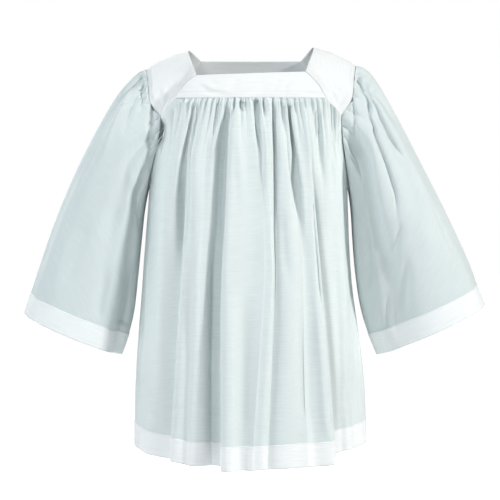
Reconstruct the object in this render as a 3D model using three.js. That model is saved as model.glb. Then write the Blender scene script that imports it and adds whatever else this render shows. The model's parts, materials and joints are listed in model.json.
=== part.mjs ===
// A square-yoked surplice, hollow, in the form that it has when worn with the arms a little out.
// Millimetres, +Z up. X runs from the wearer's right to the wearer's left, and the front faces -Y.
// The origin lies between the shoulders, at the height of the two highest points of the neckline.
//
// The cloth is a set of walls. Each wall is a mid surface, worked out from named sizes and short
// tables, that is thickened along its own normals. Front and back are gathered on to the yoke, and
// the sleeves on to the armholes.
import * as THREE from "three";

// Driving dimensions
const CLOTH_WALL = 1.6;
const YOKE_WALL = 2.0;
const HEM_WALL = 2.6;
const SEAM_GAP = 0.65; // between pieces that are sewn together
const MITRE_GAP = 0.4; // how far a piece of the yoke is drawn in from a mitre
const HEM_DEPTH = 47;
const CUFF_DEPTH = 44;
const YOKE_SEAM_FRONT_Z = -103;
const YOKE_SEAM_BACK_Z = -96;
const YOKE_CORNER_X = 144;
const YOKE_END_X = 175;
const YOKE_END_FRONT_Z = -136;
const YOKE_END_BACK_Z = -122;
const YOKE_BULGE = 4;
const UNDERARM_Z = -275;
const ARMHOLE_CURVE = 0.5; // the smaller, the more steeply the armhole falls below the yoke
const HEM_FRONT_Z = -809;
const HEM_BACK_Z = -808;
const HEM_SIDE_Z = -784;
const HEM_CURVE = 3; // the larger, the nearer to the sides the hem rises
// How much higher each of these lies at the wearer's left side, and lower at the right.
const NECK_TILT = 3.5;
const HEM_TILT = 2.5;
const CUFF_TILT = 8;

// The body of the garment in plan, a rounded box at each height, whose middle shifts sideways.
const BODY = [
  { z: 0, half: 200, front: 104, back: 96, box: 2.7, shift: 0 },
  { z: -100, half: 203, front: 124, back: 110, box: 2.7, shift: 0 },
  { z: -150, half: 200, front: 132, back: 116, box: 2.6, shift: 0 },
  { z: -275, half: 197, front: 140, back: 124, box: 2.5, shift: -5 },
  { z: -450, half: 206, front: 150, back: 138, box: 2.4, shift: -8 },
  { z: -650, half: 227, front: 162, back: 154, box: 2.3, shift: -2 },
  { z: -820, half: 232, front: 174, back: 168, box: 2.2, shift: -1 },
];

// The square neckline and the shoulder edge of the yoke, for the wearer's left side.
const NECK = {
  front: { x: 105, y: -96, z: -55 },
  top: { x: 124, y: 2, z: -1 },
  back: { x: 102, y: 88, z: -18 },
};
const NECK_BOW = { front: -7, back: 6 }; // how far the neckline bows forwards between its corners
const SHOULDER = [
  { x: 196, y: -72, z: -104 },
  { x: 202, y: -40, z: -64 },
  { x: 208, y: 0, z: -37 },
  { x: 202, y: 36, z: -56 },
  { x: 197, y: 66, z: -92 },
];

// Lengthwise fold lines of a panel, from the wearer's right to the left: the x of each at the yoke
// seam, chest, waist and hem, and at the last three how far it stands out from the body, negative in
// a valley, and how far the cloth beside it laps over it, from its left (+) or from its right (-).
const FRONT_LINES = [
  { seam: -175, chest: -175, waist: -203, hem: -222, deep: [0, 3, 3], lap: [0, 0, 0] },
  { seam: -106, chest: -128, waist: -140, hem: -166, deep: [-8, -10, -13], lap: [0, 0, 0] },
  { seam: -66, chest: -86, waist: -100, hem: -112, deep: [-3, 4, 6], lap: [0, 0, 0] },
  { seam: -42, chest: -49, waist: -57, hem: -53, deep: [-13, -19, -22], lap: [3, 11, 14] },
  { seam: 9, chest: 20, waist: 24, hem: 2, deep: [2, 9, 20], lap: [0, 0, 0] },
  { seam: 42, chest: 45, waist: 48, hem: 30, deep: [-6, -3, 8], lap: [0, 0, 0] },
  { seam: 70, chest: 84, waist: 96, hem: 96, deep: [-9, 4, 22], lap: [0, 0, 0] },
  { seam: 104, chest: 115, waist: 129, hem: 154, deep: [-6, -19, -30], lap: [0, -12, -16] },
  { seam: 175, chest: 175, waist: 192, hem: 211, deep: [0, -2, -7], lap: [0, 0, 0] },
];
// The lobes between the fold lines: how far a crest stands out at chest, waist and hem, the share of
// the lobe's width at which it lies, the gathers sewn in above it, and how far its hem is drawn up.
const FRONT_LOBES = [
  { crest: [1, 2, 2], lean: 0.5, gathers: 0, rise: 0 },
  { crest: [3, 6, 8], lean: 0.55, gathers: 3, rise: 2 },
  { crest: [5, 9, 12], lean: 0.5, gathers: 4, rise: 3 },
  { crest: [1, 3, 4], lean: 0.36, gathers: 2, rise: 4 },
  { crest: [8, 15, 22], lean: 0.3, gathers: 4, rise: 0 },
  { crest: [7, 12, 22], lean: 0.5, gathers: 3, rise: 2 },
  { crest: [5, 10, 22], lean: 0.5, gathers: 3, rise: 2 },
  { crest: [5, 13, 28], lean: 0.7, gathers: 3, rise: -4 },
  { crest: [3, 2, 0], lean: 0.62, gathers: 5, rise: 4 },
  { crest: [1, 2, 3], lean: 0.5, gathers: 0, rise: 3 },
];
const BACK_LINES = [
  { seam: -175, chest: -175, waist: -196, hem: -214, deep: [0, 0, -3], lap: [0, 0, 0] },
  { seam: -128, chest: -136, waist: -150, hem: -172, deep: [-5, -10, -14], lap: [0, 0, 0] },
  { seam: -88, chest: -94, waist: -102, hem: -112, deep: [-6, -13, -20], lap: [0, 0, 0] },
  { seam: -48, chest: -46, waist: -42, hem: -38, deep: [-5, -10, -15], lap: [0, 0, 0] },
  { seam: -4, chest: 0, waist: 8, hem: 16, deep: [-6, -14, -22], lap: [0, 0, 0] },
  { seam: 42, chest: 48, waist: 58, hem: 72, deep: [-6, -11, -16], lap: [0, 0, 0] },
  { seam: 88, chest: 96, waist: 110, hem: 128, deep: [-5, -12, -19], lap: [0, 0, 0] },
  { seam: 128, chest: 138, waist: 154, hem: 180, deep: [-5, -9, -13], lap: [0, 0, 0] },
  { seam: 175, chest: 175, waist: 196, hem: 216, deep: [0, -2, -6], lap: [0, 0, 0] },
];
const BACK_LOBES = [
  { crest: [1, 2, 2], lean: 0.5, gathers: 0, rise: 0 },
  { crest: [2, 4, 6], lean: 0.5, gathers: 3, rise: 0 },
  { crest: [3, 9, 16], lean: 0.44, gathers: 3, rise: 0 },
  { crest: [5, 12, 20], lean: 0.56, gathers: 4, rise: 0 },
  { crest: [4, 10, 18], lean: 0.42, gathers: 4, rise: 0 },
  { crest: [5, 12, 22], lean: 0.5, gathers: 4, rise: 0 },
  { crest: [4, 10, 18], lean: 0.58, gathers: 4, rise: 0 },
  { crest: [3, 8, 14], lean: 0.5, gathers: 3, rise: 0 },
  { crest: [2, 3, 3], lean: 0.5, gathers: 3, rise: 0 },
  { crest: [1, 2, 4], lean: 0.5, gathers: 0, rise: 0 },
];
const CHEST_Z = -200;
const WAIST_Z = -430;
const FOLD_ONSET = 90; // how far below a seam the folds have their full height
const LAP_START = 20; // how far below a seam a lap begins
const LAP_ONSET = 160; // and has its full width
const LAP_REACH = 0.12; // share of a lobe's width at which a lap is widest
const PLAIN_COLUMNS = 2; // a lobe without gathers has as many columns as one with this many
const CREST_BROAD = 0.9; // the power of a sine that a crest follows at the seam
const CREST_NARROW = 1.5; // and from this far below it
const CREST_NARROW_DOWN = 450;
const GATHER_HEIGHT = 3.4;
const GATHER_LENGTH = 95; // how far below the seam the gathers fade to about a third
const GATHER_ONSET = 10;
const GATHER_ROUND = 0.8; // the same power for a gather's section
const GATHER_MIDDLE = 0.5; // the share of a gather's height that lies inside the plain surface

// The sleeve as flattened rings. The outer edge lies in the XZ plane, and is further out by `skew` at
// the wearer's left. The inner edge lies at innerZ, clear of the body's side. The last columns are
// half the depth front to back, and how much deeper the outer part of the ring is than the inner.
const SLEEVE = [
  { share: 0.0, outerX: 208, outerZ: -37, skew: 0, clear: 4, innerZ: -275, deep: 92, egg: 0.0 },
  { share: 0.06, outerX: 226, outerZ: -44, skew: 2, clear: 6, innerZ: -296, deep: 96, egg: 0.02 },
  { share: 0.13, outerX: 248, outerZ: -67, skew: 0, clear: 8, innerZ: -320, deep: 98, egg: 0.06 },
  { share: 0.22, outerX: 270, outerZ: -99, skew: -3, clear: 9, innerZ: -352, deep: 98, egg: 0.12 },
  { share: 0.35, outerX: 301, outerZ: -153, skew: -4, clear: 10, innerZ: -398, deep: 96, egg: 0.2 },
  { share: 0.5, outerX: 342, outerZ: -232, skew: -4, clear: 11, innerZ: -448, deep: 93, egg: 0.24 },
  { share: 0.7, outerX: 392, outerZ: -338, skew: 0, clear: 13, innerZ: -520, deep: 90, egg: 0.22 },
  { share: 0.85, outerX: 429, outerZ: -428, skew: 5, clear: 19, innerZ: -568, deep: 90, egg: 0.18 },
  { share: 1.0, outerX: 461, outerZ: -516, skew: 7, clear: 28, innerZ: -610, deep: 92, egg: 0.12 },
];
const INNER_BOX = 0.72; // below 1, the inner part of a ring is fuller than an ellipse
const SLEEVE_OUTER_LENGTH = 620; // along the outer edge and along the inner edge, near the cuff
const SLEEVE_INNER_LENGTH = 290;

// Fold lines of a sleeve, by the turn round it at the armhole and at the cuff, in degrees: 0 is the
// outer edge, 90 the front, 180 the underarm and 270 the back. `wide` is the fold's half width, in
// degrees, and `high` its height below the armhole, half way and at the cuff, negative in a valley.
const LEFT_SLEEVE_LINES = [
  { head: 28, cuff: 16, wide: 10, high: [-6, -5, -2] },
  { head: 50, cuff: 58, wide: 11, high: [-9, -7, 0] },
  { head: 96, cuff: 122, wide: 14, high: [-9, -13, -6] },
  { head: 140, cuff: 160, wide: 13, high: [-3, -8, -8] },
  { head: 214, cuff: 200, wide: 12, high: [-3, -9, -10] },
  { head: 262, cuff: 246, wide: 13, high: [-8, -10, -7] },
  { head: 310, cuff: 300, wide: 12, high: [-8, -6, -2] },
];
const RIGHT_SLEEVE_LINES = [
  { head: 22, cuff: 20, wide: 9, high: [-6, -7, -2] },
  { head: 62, cuff: 70, wide: 12, high: [-5, -2, 0] },
  { head: 92, cuff: 112, wide: 11, high: [-9, -6, -3] },
  { head: 128, cuff: 158, wide: 13, high: [-5, -8, -12] },
  { head: 206, cuff: 198, wide: 12, high: [-3, -9, -10] },
  { head: 256, cuff: 240, wide: 14, high: [-8, -11, -8] },
  { head: 305, cuff: 296, wide: 11, high: [-8, -6, -3] },
];
const HALF_WAY = 0.4; // the share of the length at which a fold has its middle height
const SLEEVE_FOLD_ONSET = 0.1; // and its height below the armhole
const FOLD_WIDENING = [0.8, 1.25]; // a fold's width at the armhole and at the cuff, as parts of `wide`
const SLEEVE_GATHERS = 18;
const SLEEVE_GATHER_HEIGHT = 3.0;
const SLEEVE_GATHER_LENGTH = 80;
const SLEEVE_GATHER_ONSET = 12;
const SLEEVE_GATHER_MIDDLE = 0.3;
const UNGATHERED = 0.7; // cosine of half the turn, about the underarm, in which gathers fade out

// A sleeve starts beside the armhole's edge. From about the chest down to the underarm it also lies
// outside the panels, and over the first part of its length it goes over into the plain rings.
const HEAD_ASIDE = 1.45;
const HEAD_OUTSIDE = 2.0;
const HEAD_OUTSIDE_FROM = 0.35; // shares of the way from the shoulder to the underarm
const HEAD_OUTSIDE_FULL = 0.95;
const HEAD_DEPTHWAYS = 1.6; // how much more it is moved front to back than its place would give
const HEAD_SHARE = 0.22;

// Rows down a panel, by distance from its seam, and down a sleeve, by share of its length. The fine
// rows carry every gather, and the coarse rows half as many columns.
const FINE_ROWS = [0, 7, 24, 56];
const COARSE_ROWS = [104, 165, 240, 325, 415, 505, 595];
const FINE_SHARES = [0, 0.016, 0.05, 0.12];
const COARSE_SHARES = [0.2, 0.31, 0.43, 0.56, 0.69, 0.81, 0.92];
const COLUMNS_PER_GATHER = 4;

const SHARPEST = 0.65; // limits how much longer a normal gets
const EDGE_PASSES = 8; // rounds in which a column's upper end settles on the edge
const EDGE_POINTS = 60; // along the armhole's edge over the shoulder

const { clamp, degToRad, lerp, smoothstep } = THREE.MathUtils;
const FULL_TURN = 2 * Math.PI;

// A table's column as a smooth function of another, read at one place.
function read(table, place, column, at) {
  const last = table.length - 1;
  const sign = Math.sign(table[last][place] - table[0][place]);
  let i = 0;
  while (i < last - 1 && (at - table[i + 1][place]) * sign > 0) i += 1;
  const slope = (j) => {
    const [a, b] = [table[Math.max(j - 1, 0)], table[Math.min(j + 1, last)]];
    return (b[column] - a[column]) / (b[place] - a[place]);
  };
  const [p, q] = [table[i], table[i + 1]];
  const span = q[place] - p[place];
  const t = clamp((at - p[place]) / span, 0, 1);
  return (
    p[column] * (1 + 2 * t) * (1 - t) ** 2 +
    q[column] * t * t * (3 - 2 * t) +
    slope(i) * span * t * (1 - t) ** 2 -
    slope(i + 1) * span * t * t * (1 - t)
  );
}

// A point of the body's plain surface. The turn is 0 at the centre front and grows towards +X, and
// `out` moves the point away from the body's axis.
function bodyPoint(turn, z, out = 0) {
  const half = read(BODY, "z", "half", z);
  const deep = read(BODY, "z", Math.cos(turn) > 0 ? "front" : "back", z);
  const box = read(BODY, "z", "box", z);
  const reach =
    (Math.abs(Math.sin(turn) / half) ** box + Math.abs(Math.cos(turn) / deep) ** box) ** (-1 / box);
  const shift = read(BODY, "z", "shift", z);
  return new THREE.Vector3(
    Math.sin(turn) * (reach + out) + shift,
    -Math.cos(turn) * (reach + out),
    z,
  );
}

// The turn, from the middle of a panel, at which the body's surface has this x.
function turnAt(x, z, panel) {
  const half = read(BODY, "z", "half", z);
  const box = read(BODY, "z", "box", z);
  const share = clamp((x - read(BODY, "z", "shift", z)) / half, -0.995, 0.995);
  const y = read(BODY, "z", panel, z) * (1 - Math.abs(share) ** box) ** (1 / box);
  return Math.atan2(share * half, y);
}

// A point of the body at a turn from the middle of the front or of the back.
function panelPoint(panel, turn, z, out = 0) {
  return bodyPoint(panel === "back" ? Math.PI - turn : turn, z, out);
}

// The height of a panel's upper edge: the yoke seam, its slanting end, and then the armhole.
function upperEdge(turn, panel) {
  const seamZ = panel === "front" ? YOKE_SEAM_FRONT_Z : YOKE_SEAM_BACK_Z;
  const endZ = panel === "front" ? YOKE_END_FRONT_Z : YOKE_END_BACK_Z;
  const corner = turnAt(YOKE_CORNER_X, seamZ, panel);
  const end = turnAt(YOKE_END_X, endZ, panel);
  const away = Math.abs(turn);
  if (away < corner) return seamZ;
  if (away < end) return lerp(seamZ, endZ, (away - corner) / (end - corner));
  const share = (away - end) / (Math.PI / 2 - end);
  return lerp(endZ, UNDERARM_Z, Math.sin((share * Math.PI) / 2) ** ARMHOLE_CURVE);
}

// A value given at the chest, waist and hem, at any height below the chest.
function belowChest([chest, waist, hem], z) {
  if (z > WAIST_Z) return lerp(chest, waist, Math.max((z - CHEST_Z) / (WAIST_Z - CHEST_Z), 0));
  return lerp(waist, hem, Math.min((z - WAIST_Z) / (HEM_SIDE_Z - WAIST_Z), 1));
}

// Triangles between two rows of point numbers, which may differ in count.
function stitch(from, to, closed) {
  const [m, n] = closed ? [from.length, to.length] : [from.length - 1, to.length - 1];
  const triangles = [];
  let [i, j] = [0, 0];
  while (i < m || j < n) {
    const [a, b] = [from[i % from.length], to[j % to.length]];
    if (j >= n || (i < m && (i + 1) / m <= (j + 1) / n)) {
      i += 1;
      triangles.push([a, b, from[i % from.length]]);
    } else {
      j += 1;
      triangles.push([a, b, to[j % to.length]]);
    }
  }
  return triangles;
}

// A mid surface: rows of points, with the triangles between them and a normal at each point.
class Surface {
  constructor(rows, { closed = false, flip = false, normals = null } = {}) {
    this.rows = rows;
    this.flip = flip;
    this.points = rows.flat();
    let count = 0;
    const numbered = rows.map((row) => row.map(() => count++));
    this.triangles = rows
      .slice(1)
      .flatMap((_, r) => stitch(numbered[r], numbered[r + 1], closed))
      .map(([a, b, c]) => (flip ? [a, c, b] : [a, b, c]));
    this.numbered = numbered;
    this.normals = normals ?? this.ownNormals();
  }

  // Each face counts by its angle at the point. Where faces meet sharply the normal is longer, which
  // keeps the wall's thickness.
  ownNormals() {
    const sums = this.points.map(() => new THREE.Vector3());
    const angles = this.points.map(() => 0);
    for (const triangle of this.triangles) {
      const [p, q, s] = triangle.map((i) => this.points[i]);
      const face = q.clone().sub(p).cross(s.clone().sub(p)).normalize();
      triangle.forEach((corner, i) => {
        const [before, after] = [triangle[(i + 2) % 3], triangle[(i + 1) % 3]];
        const along = this.points[after].clone().sub(this.points[corner]);
        const angle = along.angleTo(this.points[before].clone().sub(this.points[corner]));
        sums[corner].addScaledVector(face, angle);
        angles[corner] += angle;
      });
    }
    return sums.map((sum, i) => {
      const sharpness = Math.max(sum.length() / angles[i], SHARPEST);
      return sum.setLength(1 / sharpness);
    });
  }

  // Turns the normals of some rows level, so that a seam there is cut flat.
  levelled(...rows) {
    for (const row of rows) {
      for (const i of this.numbered.at(row)) {
        const length = this.normals[i].length();
        this.normals[i].setZ(0).setLength(length);
      }
    }
    return this;
  }

  // The columns from one to another as a surface of their own, drawn in by a gap at both ends.
  part(from, to, gap) {
    const kept = (row) => [...row, ...row].slice(from, to + 1);
    const rows = this.rows.map((row) => {
      const points = kept(row);
      const inward = (a, b) => a.clone().add(b.clone().sub(a).setLength(gap));
      const first = inward(points[0], points[1]);
      const last = inward(points.at(-1), points.at(-2));
      return [first, ...points.slice(1, -1), last];
    });
    const normals = this.numbered.flatMap((row) => kept(row).map((i) => this.normals[i]));
    return new Surface(rows, { flip: this.flip, normals });
  }

  // The surface as a wall with half the thickness on either side.
  wall(thickness) {
    const face = (by) => this.points.map((p, i) => p.clone().addScaledVector(this.normals[i], by));
    const corners = [...face(thickness / 2), ...face(-thickness / 2)];
    const count = this.points.length;
    const faces = [];
    const rim = new Set();
    for (const [a, b, c] of this.triangles) {
      faces.push(a, b, c, a + count, c + count, b + count);
      for (const [p, q] of [[a, b], [b, c], [c, a]]) {
        if (!rim.delete(`${q} ${p}`)) rim.add(`${p} ${q}`);
      }
    }
    for (const edge of rim) {
      const [p, q] = edge.split(" ").map(Number);
      faces.push(q, p, p + count, q, p + count, q + count);
    }
    const geometry = new THREE.BufferGeometry();
    geometry.setAttribute(
      "position",
      new THREE.Float32BufferAttribute(corners.flatMap((v) => v.toArray()), 3),
    );
    geometry.setIndex(faces);
    geometry.computeVertexNormals();
    return geometry;
  }
}

// A share from 0 to 1 that is moved so that a half becomes `middle`.
function skewed(share, middle) {
  return (share * middle) / (1 - middle - share * (1 - 2 * middle));
}

// Columns of points as rows of points.
function transposed(columns) {
  return columns[0].map((_, row) => columns.map((column) => column[row]));
}

// A gathered panel of the body, front or back.
class Panel {
  constructor(panel, lines, lobes) {
    this.panel = panel;
    this.flip = panel === "back";
    this.seamZ = this.flip ? YOKE_SEAM_BACK_Z : YOKE_SEAM_FRONT_Z;
    this.hemZ = this.flip ? HEM_BACK_Z : HEM_FRONT_Z;
    this.lines = [null, ...lines, null];
    this.lobes = lobes;
  }

  // The turn of a fold line at a height. The first and the last are the side seams.
  lineTurn(index, z) {
    const side = Math.PI / 2 - SEAM_GAP / 2 / BODY[0].half;
    if (index === 0) return -side;
    if (index === this.lines.length - 1) return side;
    const { seam, chest, waist, hem } = this.lines[index];
    const upper = clamp((z - this.seamZ) / (CHEST_Z - this.seamZ), 0, 1);
    const x = z > CHEST_Z ? lerp(seam, chest, upper) : belowChest([chest, waist, hem], z);
    return turnAt(x, z, this.panel);
  }

  lineHeight(index, z) {
    return this.lines[index] ? belowChest(this.lines[index].deep, z) : 0;
  }

  // How far the cloth of a lobe is pushed over the fold lines beside it.
  lap(lobe, share, z) {
    const push = (s) => (s / LAP_REACH) * Math.exp(1 - s / LAP_REACH);
    const lapOf = (line) => (line ? belowChest(line.lap, z) : 0);
    const before = Math.max(lapOf(this.lines[lobe]), 0);
    const after = Math.min(lapOf(this.lines[lobe + 1]), 0);
    return -before * push(share) - after * push(1 - share);
  }

  // The point of a lobe at a share of its width and a height, which lies `down` below the seam.
  point(lobe, share, z, down) {
    const { crest, lean, gathers } = this.lobes[lobe];
    const turn = lerp(this.lineTurn(lobe, z), this.lineTurn(lobe + 1, z), share);
    const level = lerp(this.lineHeight(lobe, z), this.lineHeight(lobe + 1, z), share);
    const phase = skewed(share, 1 - lean);
    const wave = Math.max(Math.sin(Math.PI * phase), 0);
    const narrow = Math.min(down / CREST_NARROW_DOWN, 1);
    const hump = wave ** lerp(CREST_BROAD, CREST_NARROW, narrow);
    const fold = (level + (belowChest(crest, z) - level) * hump) * smoothstep(down, 0, FOLD_ONSET);
    const pinch = Math.abs(Math.sin(Math.PI * gathers * share)) ** GATHER_ROUND - GATHER_MIDDLE;
    const fading = smoothstep(down, 0, GATHER_ONSET) * Math.exp(-down / GATHER_LENGTH);
    const gather = gathers ? GATHER_HEIGHT * pinch * fading : 0;
    const sideways = this.lap(lobe, share, z) * smoothstep(down, LAP_START, LAP_ONSET);
    const turned = turn + sideways / bodyPoint(turn, z).length();
    return panelPoint(this.panel, turned, z, fold + gather);
  }

  // One column of points, at the heights that `levels` gives for the column's ends.
  column(lobe, share, levels) {
    const turnFor = (z) => lerp(this.lineTurn(lobe, z), this.lineTurn(lobe + 1, z), share);
    let top = this.seamZ;
    for (let pass = 0; pass < EDGE_PASSES; pass += 1) top = upperEdge(turnFor(top), this.panel);
    const side = Math.sin(turnFor(this.hemZ));
    const drawn = this.lobes[lobe].rise * Math.sin(Math.PI * share);
    const bottom = lerp(this.hemZ, HEM_SIDE_Z, Math.abs(side) ** HEM_CURVE) + HEM_TILT * side + drawn;
    return levels(top, bottom).map((z) => this.point(lobe, share, z, top - z));
  }

  // Columns that fit the gathers: evenly spaced over a lobe.
  fineColumns(levels) {
    return this.columns(COLUMNS_PER_GATHER, (step) => step, levels);
  }

  // Half as many columns, which fit the folds: they crowd together on a lobe's steeper side.
  coarseColumns(levels) {
    return this.columns(COLUMNS_PER_GATHER / 2, skewed, levels);
  }

  columns(perGather, spacing, levels) {
    const made = this.lobes.flatMap(({ gathers, lean }, lobe) => {
      const count = Math.max(gathers, PLAIN_COLUMNS) * perGather;
      return Array.from({ length: count }, (_, i) =>
        this.column(lobe, spacing(i / count, lean), levels),
      );
    });
    return [...made, this.column(this.lobes.length - 1, 1, levels)];
  }

  // The edge that lies in an armhole, from the yoke's end to the side seam.
  armholeEdge(side) {
    const lobe = side > 0 ? this.lobes.length - 1 : 0;
    const count = PLAIN_COLUMNS * COLUMNS_PER_GATHER;
    return Array.from({ length: count + 1 }, (_, i) => {
      const [point] = this.column(lobe, i / count, (top) => [top]);
      return point;
    });
  }

  // The panel from the yoke seam and the armholes down to the hem's stitching.
  cloth() {
    const full = this.seamZ - this.hemZ - HEM_DEPTH;
    const squeezed = (down, top, bottom) => top - (down * (top - bottom - HEM_DEPTH)) / full;
    const fine = this.fineColumns((top, bottom) =>
      FINE_ROWS.map((down) => squeezed(down, top, bottom) - (down ? 0 : SEAM_GAP / 2)),
    );
    const coarse = this.coarseColumns((top, bottom) => [
      ...COARSE_ROWS.map((down) => squeezed(down, top, bottom)),
      bottom + HEM_DEPTH + SEAM_GAP / 2,
    ]);
    const rows = [...transposed(fine), ...transposed(coarse)];
    return new Surface(rows, { flip: this.flip }).levelled(0, -1).wall(CLOTH_WALL);
  }

  // The turned-up hem is doubled cloth, so it has a thicker wall.
  hem() {
    const strip = this.coarseColumns((top, bottom) => [
      bottom + HEM_DEPTH - SEAM_GAP / 2,
      bottom,
    ]);
    return new Surface(transposed(strip), { flip: this.flip }).levelled(0, -1).wall(HEM_WALL);
  }
}

// A point given for the wearer's left side, on either side, and tilted.
function sidePoint({ x, y, z }, side, tilt = 0) {
  return new THREE.Vector3(side * x, y, z + side * tilt);
}

// The corners of the neckline and of the yoke's lower edge, on one side of the body (+1 or -1).
function yokeCorners(side) {
  const edge = (panel, x, z) => panelPoint(panel, turnAt(side * x, z, panel), z);
  return {
    neckFront: sidePoint(NECK.front, side, NECK_TILT),
    neckTop: sidePoint(NECK.top, side, NECK_TILT),
    neckBack: sidePoint(NECK.back, side),
    seamFront: edge("front", YOKE_CORNER_X, YOKE_SEAM_FRONT_Z),
    endFront: edge("front", YOKE_END_X, YOKE_END_FRONT_Z),
    seamBack: edge("back", YOKE_CORNER_X, YOKE_SEAM_BACK_Z),
    endBack: edge("back", YOKE_END_X, YOKE_END_BACK_Z),
  };
}

// The armhole's edge over the shoulder, from the yoke's front end to its back end.
function shoulderCurve(side) {
  const { endFront, endBack } = yokeCorners(side);
  const over = SHOULDER.map((point) => sidePoint(point, side, NECK_TILT));
  return new THREE.CatmullRomCurve3([endFront, ...over, endBack], false, "centripetal");
}

// The inner and outer edge of a straight side of the yoke, as functions of the share along it.
function acrossYoke(panel) {
  const [right, left] = [yokeCorners(-1), yokeCorners(1)];
  const [neck, seam] = panel === "front" ? ["neckFront", "seamFront"] : ["neckBack", "seamBack"];
  const turnOf = (point) => Math.atan2(point.x, Math.abs(point.y));
  return {
    inner: (t) => {
      const point = right[neck].clone().lerp(left[neck], t);
      return point.setY(point.y + NECK_BOW[panel] * 4 * t * (1 - t));
    },
    outer: (t) => panelPoint(panel, lerp(turnOf(right[seam]), turnOf(left[seam]), t), right[seam].z),
  };
}

// The same for the yoke over a shoulder, from the front mitre to the back mitre.
function overShoulder(side) {
  const corners = yokeCorners(side);
  const { neckFront, neckTop, neckBack } = corners;
  const neckline = new THREE.CatmullRomCurve3([neckFront, neckTop, neckBack]);
  const shoulder = shoulderCurve(side);
  const slanting = Yoke.SLANTED / Yoke.COLUMNS;
  const slant = (panel, from, to, t) => {
    const point = from.clone().lerp(to, t);
    return panelPoint(panel, Math.atan2(point.x, Math.abs(point.y)), point.z);
  };
  return {
    inner: (t) => neckline.getPoint(t),
    outer: (t) => {
      if (t < slanting) return slant("front", corners.seamFront, corners.endFront, t / slanting);
      if (t <= 1 - slanting) return shoulder.getPoint((t - slanting) / (1 - 2 * slanting));
      return slant("back", corners.seamBack, corners.endBack, (1 - t) / slanting);
    },
  };
}

// The yoke as one closed ring, which its four pieces are cut from at the mitres.
class Yoke {
  static COLUMNS = 20;
  static ROWS = 3;
  static SLANTED = 3; // columns of a shoulder piece along each slanting end of the yoke seam
  static ORDER = ["front", "left", "back", "right"];

  constructor() {
    const turned = (edges) => ({ inner: (t) => edges.inner(1 - t), outer: (t) => edges.outer(1 - t) });
    const sides = [
      acrossYoke("front"),
      overShoulder(1),
      turned(acrossYoke("back")),
      turned(overShoulder(-1)),
    ];
    const rows = Array.from({ length: Yoke.ROWS + 1 }, (_, r) =>
      sides.flatMap((edges) =>
        Array.from({ length: Yoke.COLUMNS }, (__, c) => this.point(edges, c / Yoke.COLUMNS, r)),
      ),
    );
    this.ring = new Surface(rows, { closed: true });
    const first = (name) => Yoke.ORDER.indexOf(name) * Yoke.COLUMNS;
    const outerRow = this.ring.numbered[Yoke.ROWS];
    outerRow.forEach((number, column) => {
      const overShoulders = ["left", "right"].some((name) => {
        const inPiece = column - first(name);
        return inPiece > Yoke.SLANTED && inPiece < Yoke.COLUMNS - Yoke.SLANTED;
      });
      if (!overShoulders) this.ring.normals[number].setZ(0).normalize();
    });
  }

  // A point of the ring, which bulges a little between its edges.
  point({ inner, outer }, t, row) {
    const [a, b] = [inner(t), outer(t)];
    const down = b.clone().sub(a);
    const level = new THREE.Vector3(-down.y, down.x, 0);
    const out = level.cross(down).normalize();
    if (out.z < 0) out.negate();
    const edge = SEAM_GAP / 2 / down.length();
    const share = (1 - edge) * (row / Yoke.ROWS);
    return a.addScaledVector(down, share).addScaledVector(out, YOKE_BULGE * 4 * share * (1 - share));
  }

  piece(name) {
    const from = Yoke.ORDER.indexOf(name) * Yoke.COLUMNS;
    return this.ring.part(from, from + Yoke.COLUMNS, MITRE_GAP).wall(YOKE_WALL);
  }
}

// The whole armhole of one side as a function of the turn round it: 0 at the shoulder, 90 degrees at
// the front and 180 at the underarm.
function armhole(side, panels) {
  const lower = panels.flatMap((panel) => panel.armholeEdge(side));
  const loop = [...shoulderCurve(side).getPoints(EDGE_POINTS), ...lower];
  const middleZ = (UNDERARM_Z + SHOULDER[2].z) / 2;
  const sorted = loop
    .map((point) => ({ point, turn: (Math.atan2(-point.y, point.z - middleZ) + FULL_TURN) % FULL_TURN }))
    .sort((a, b) => a.turn - b.turn);
  return (turn) => {
    const at = (turn + FULL_TURN) % FULL_TURN;
    const next = Math.max(sorted.findIndex((s) => s.turn > at), 0);
    const [before, after] = [sorted.at(next - 1), sorted[next]];
    const span = (after.turn - before.turn + FULL_TURN) % FULL_TURN;
    const share = span > 0 ? ((at - before.turn + FULL_TURN) % FULL_TURN) / span : 0;
    return before.point.clone().lerp(after.point, share);
  };
}

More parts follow.
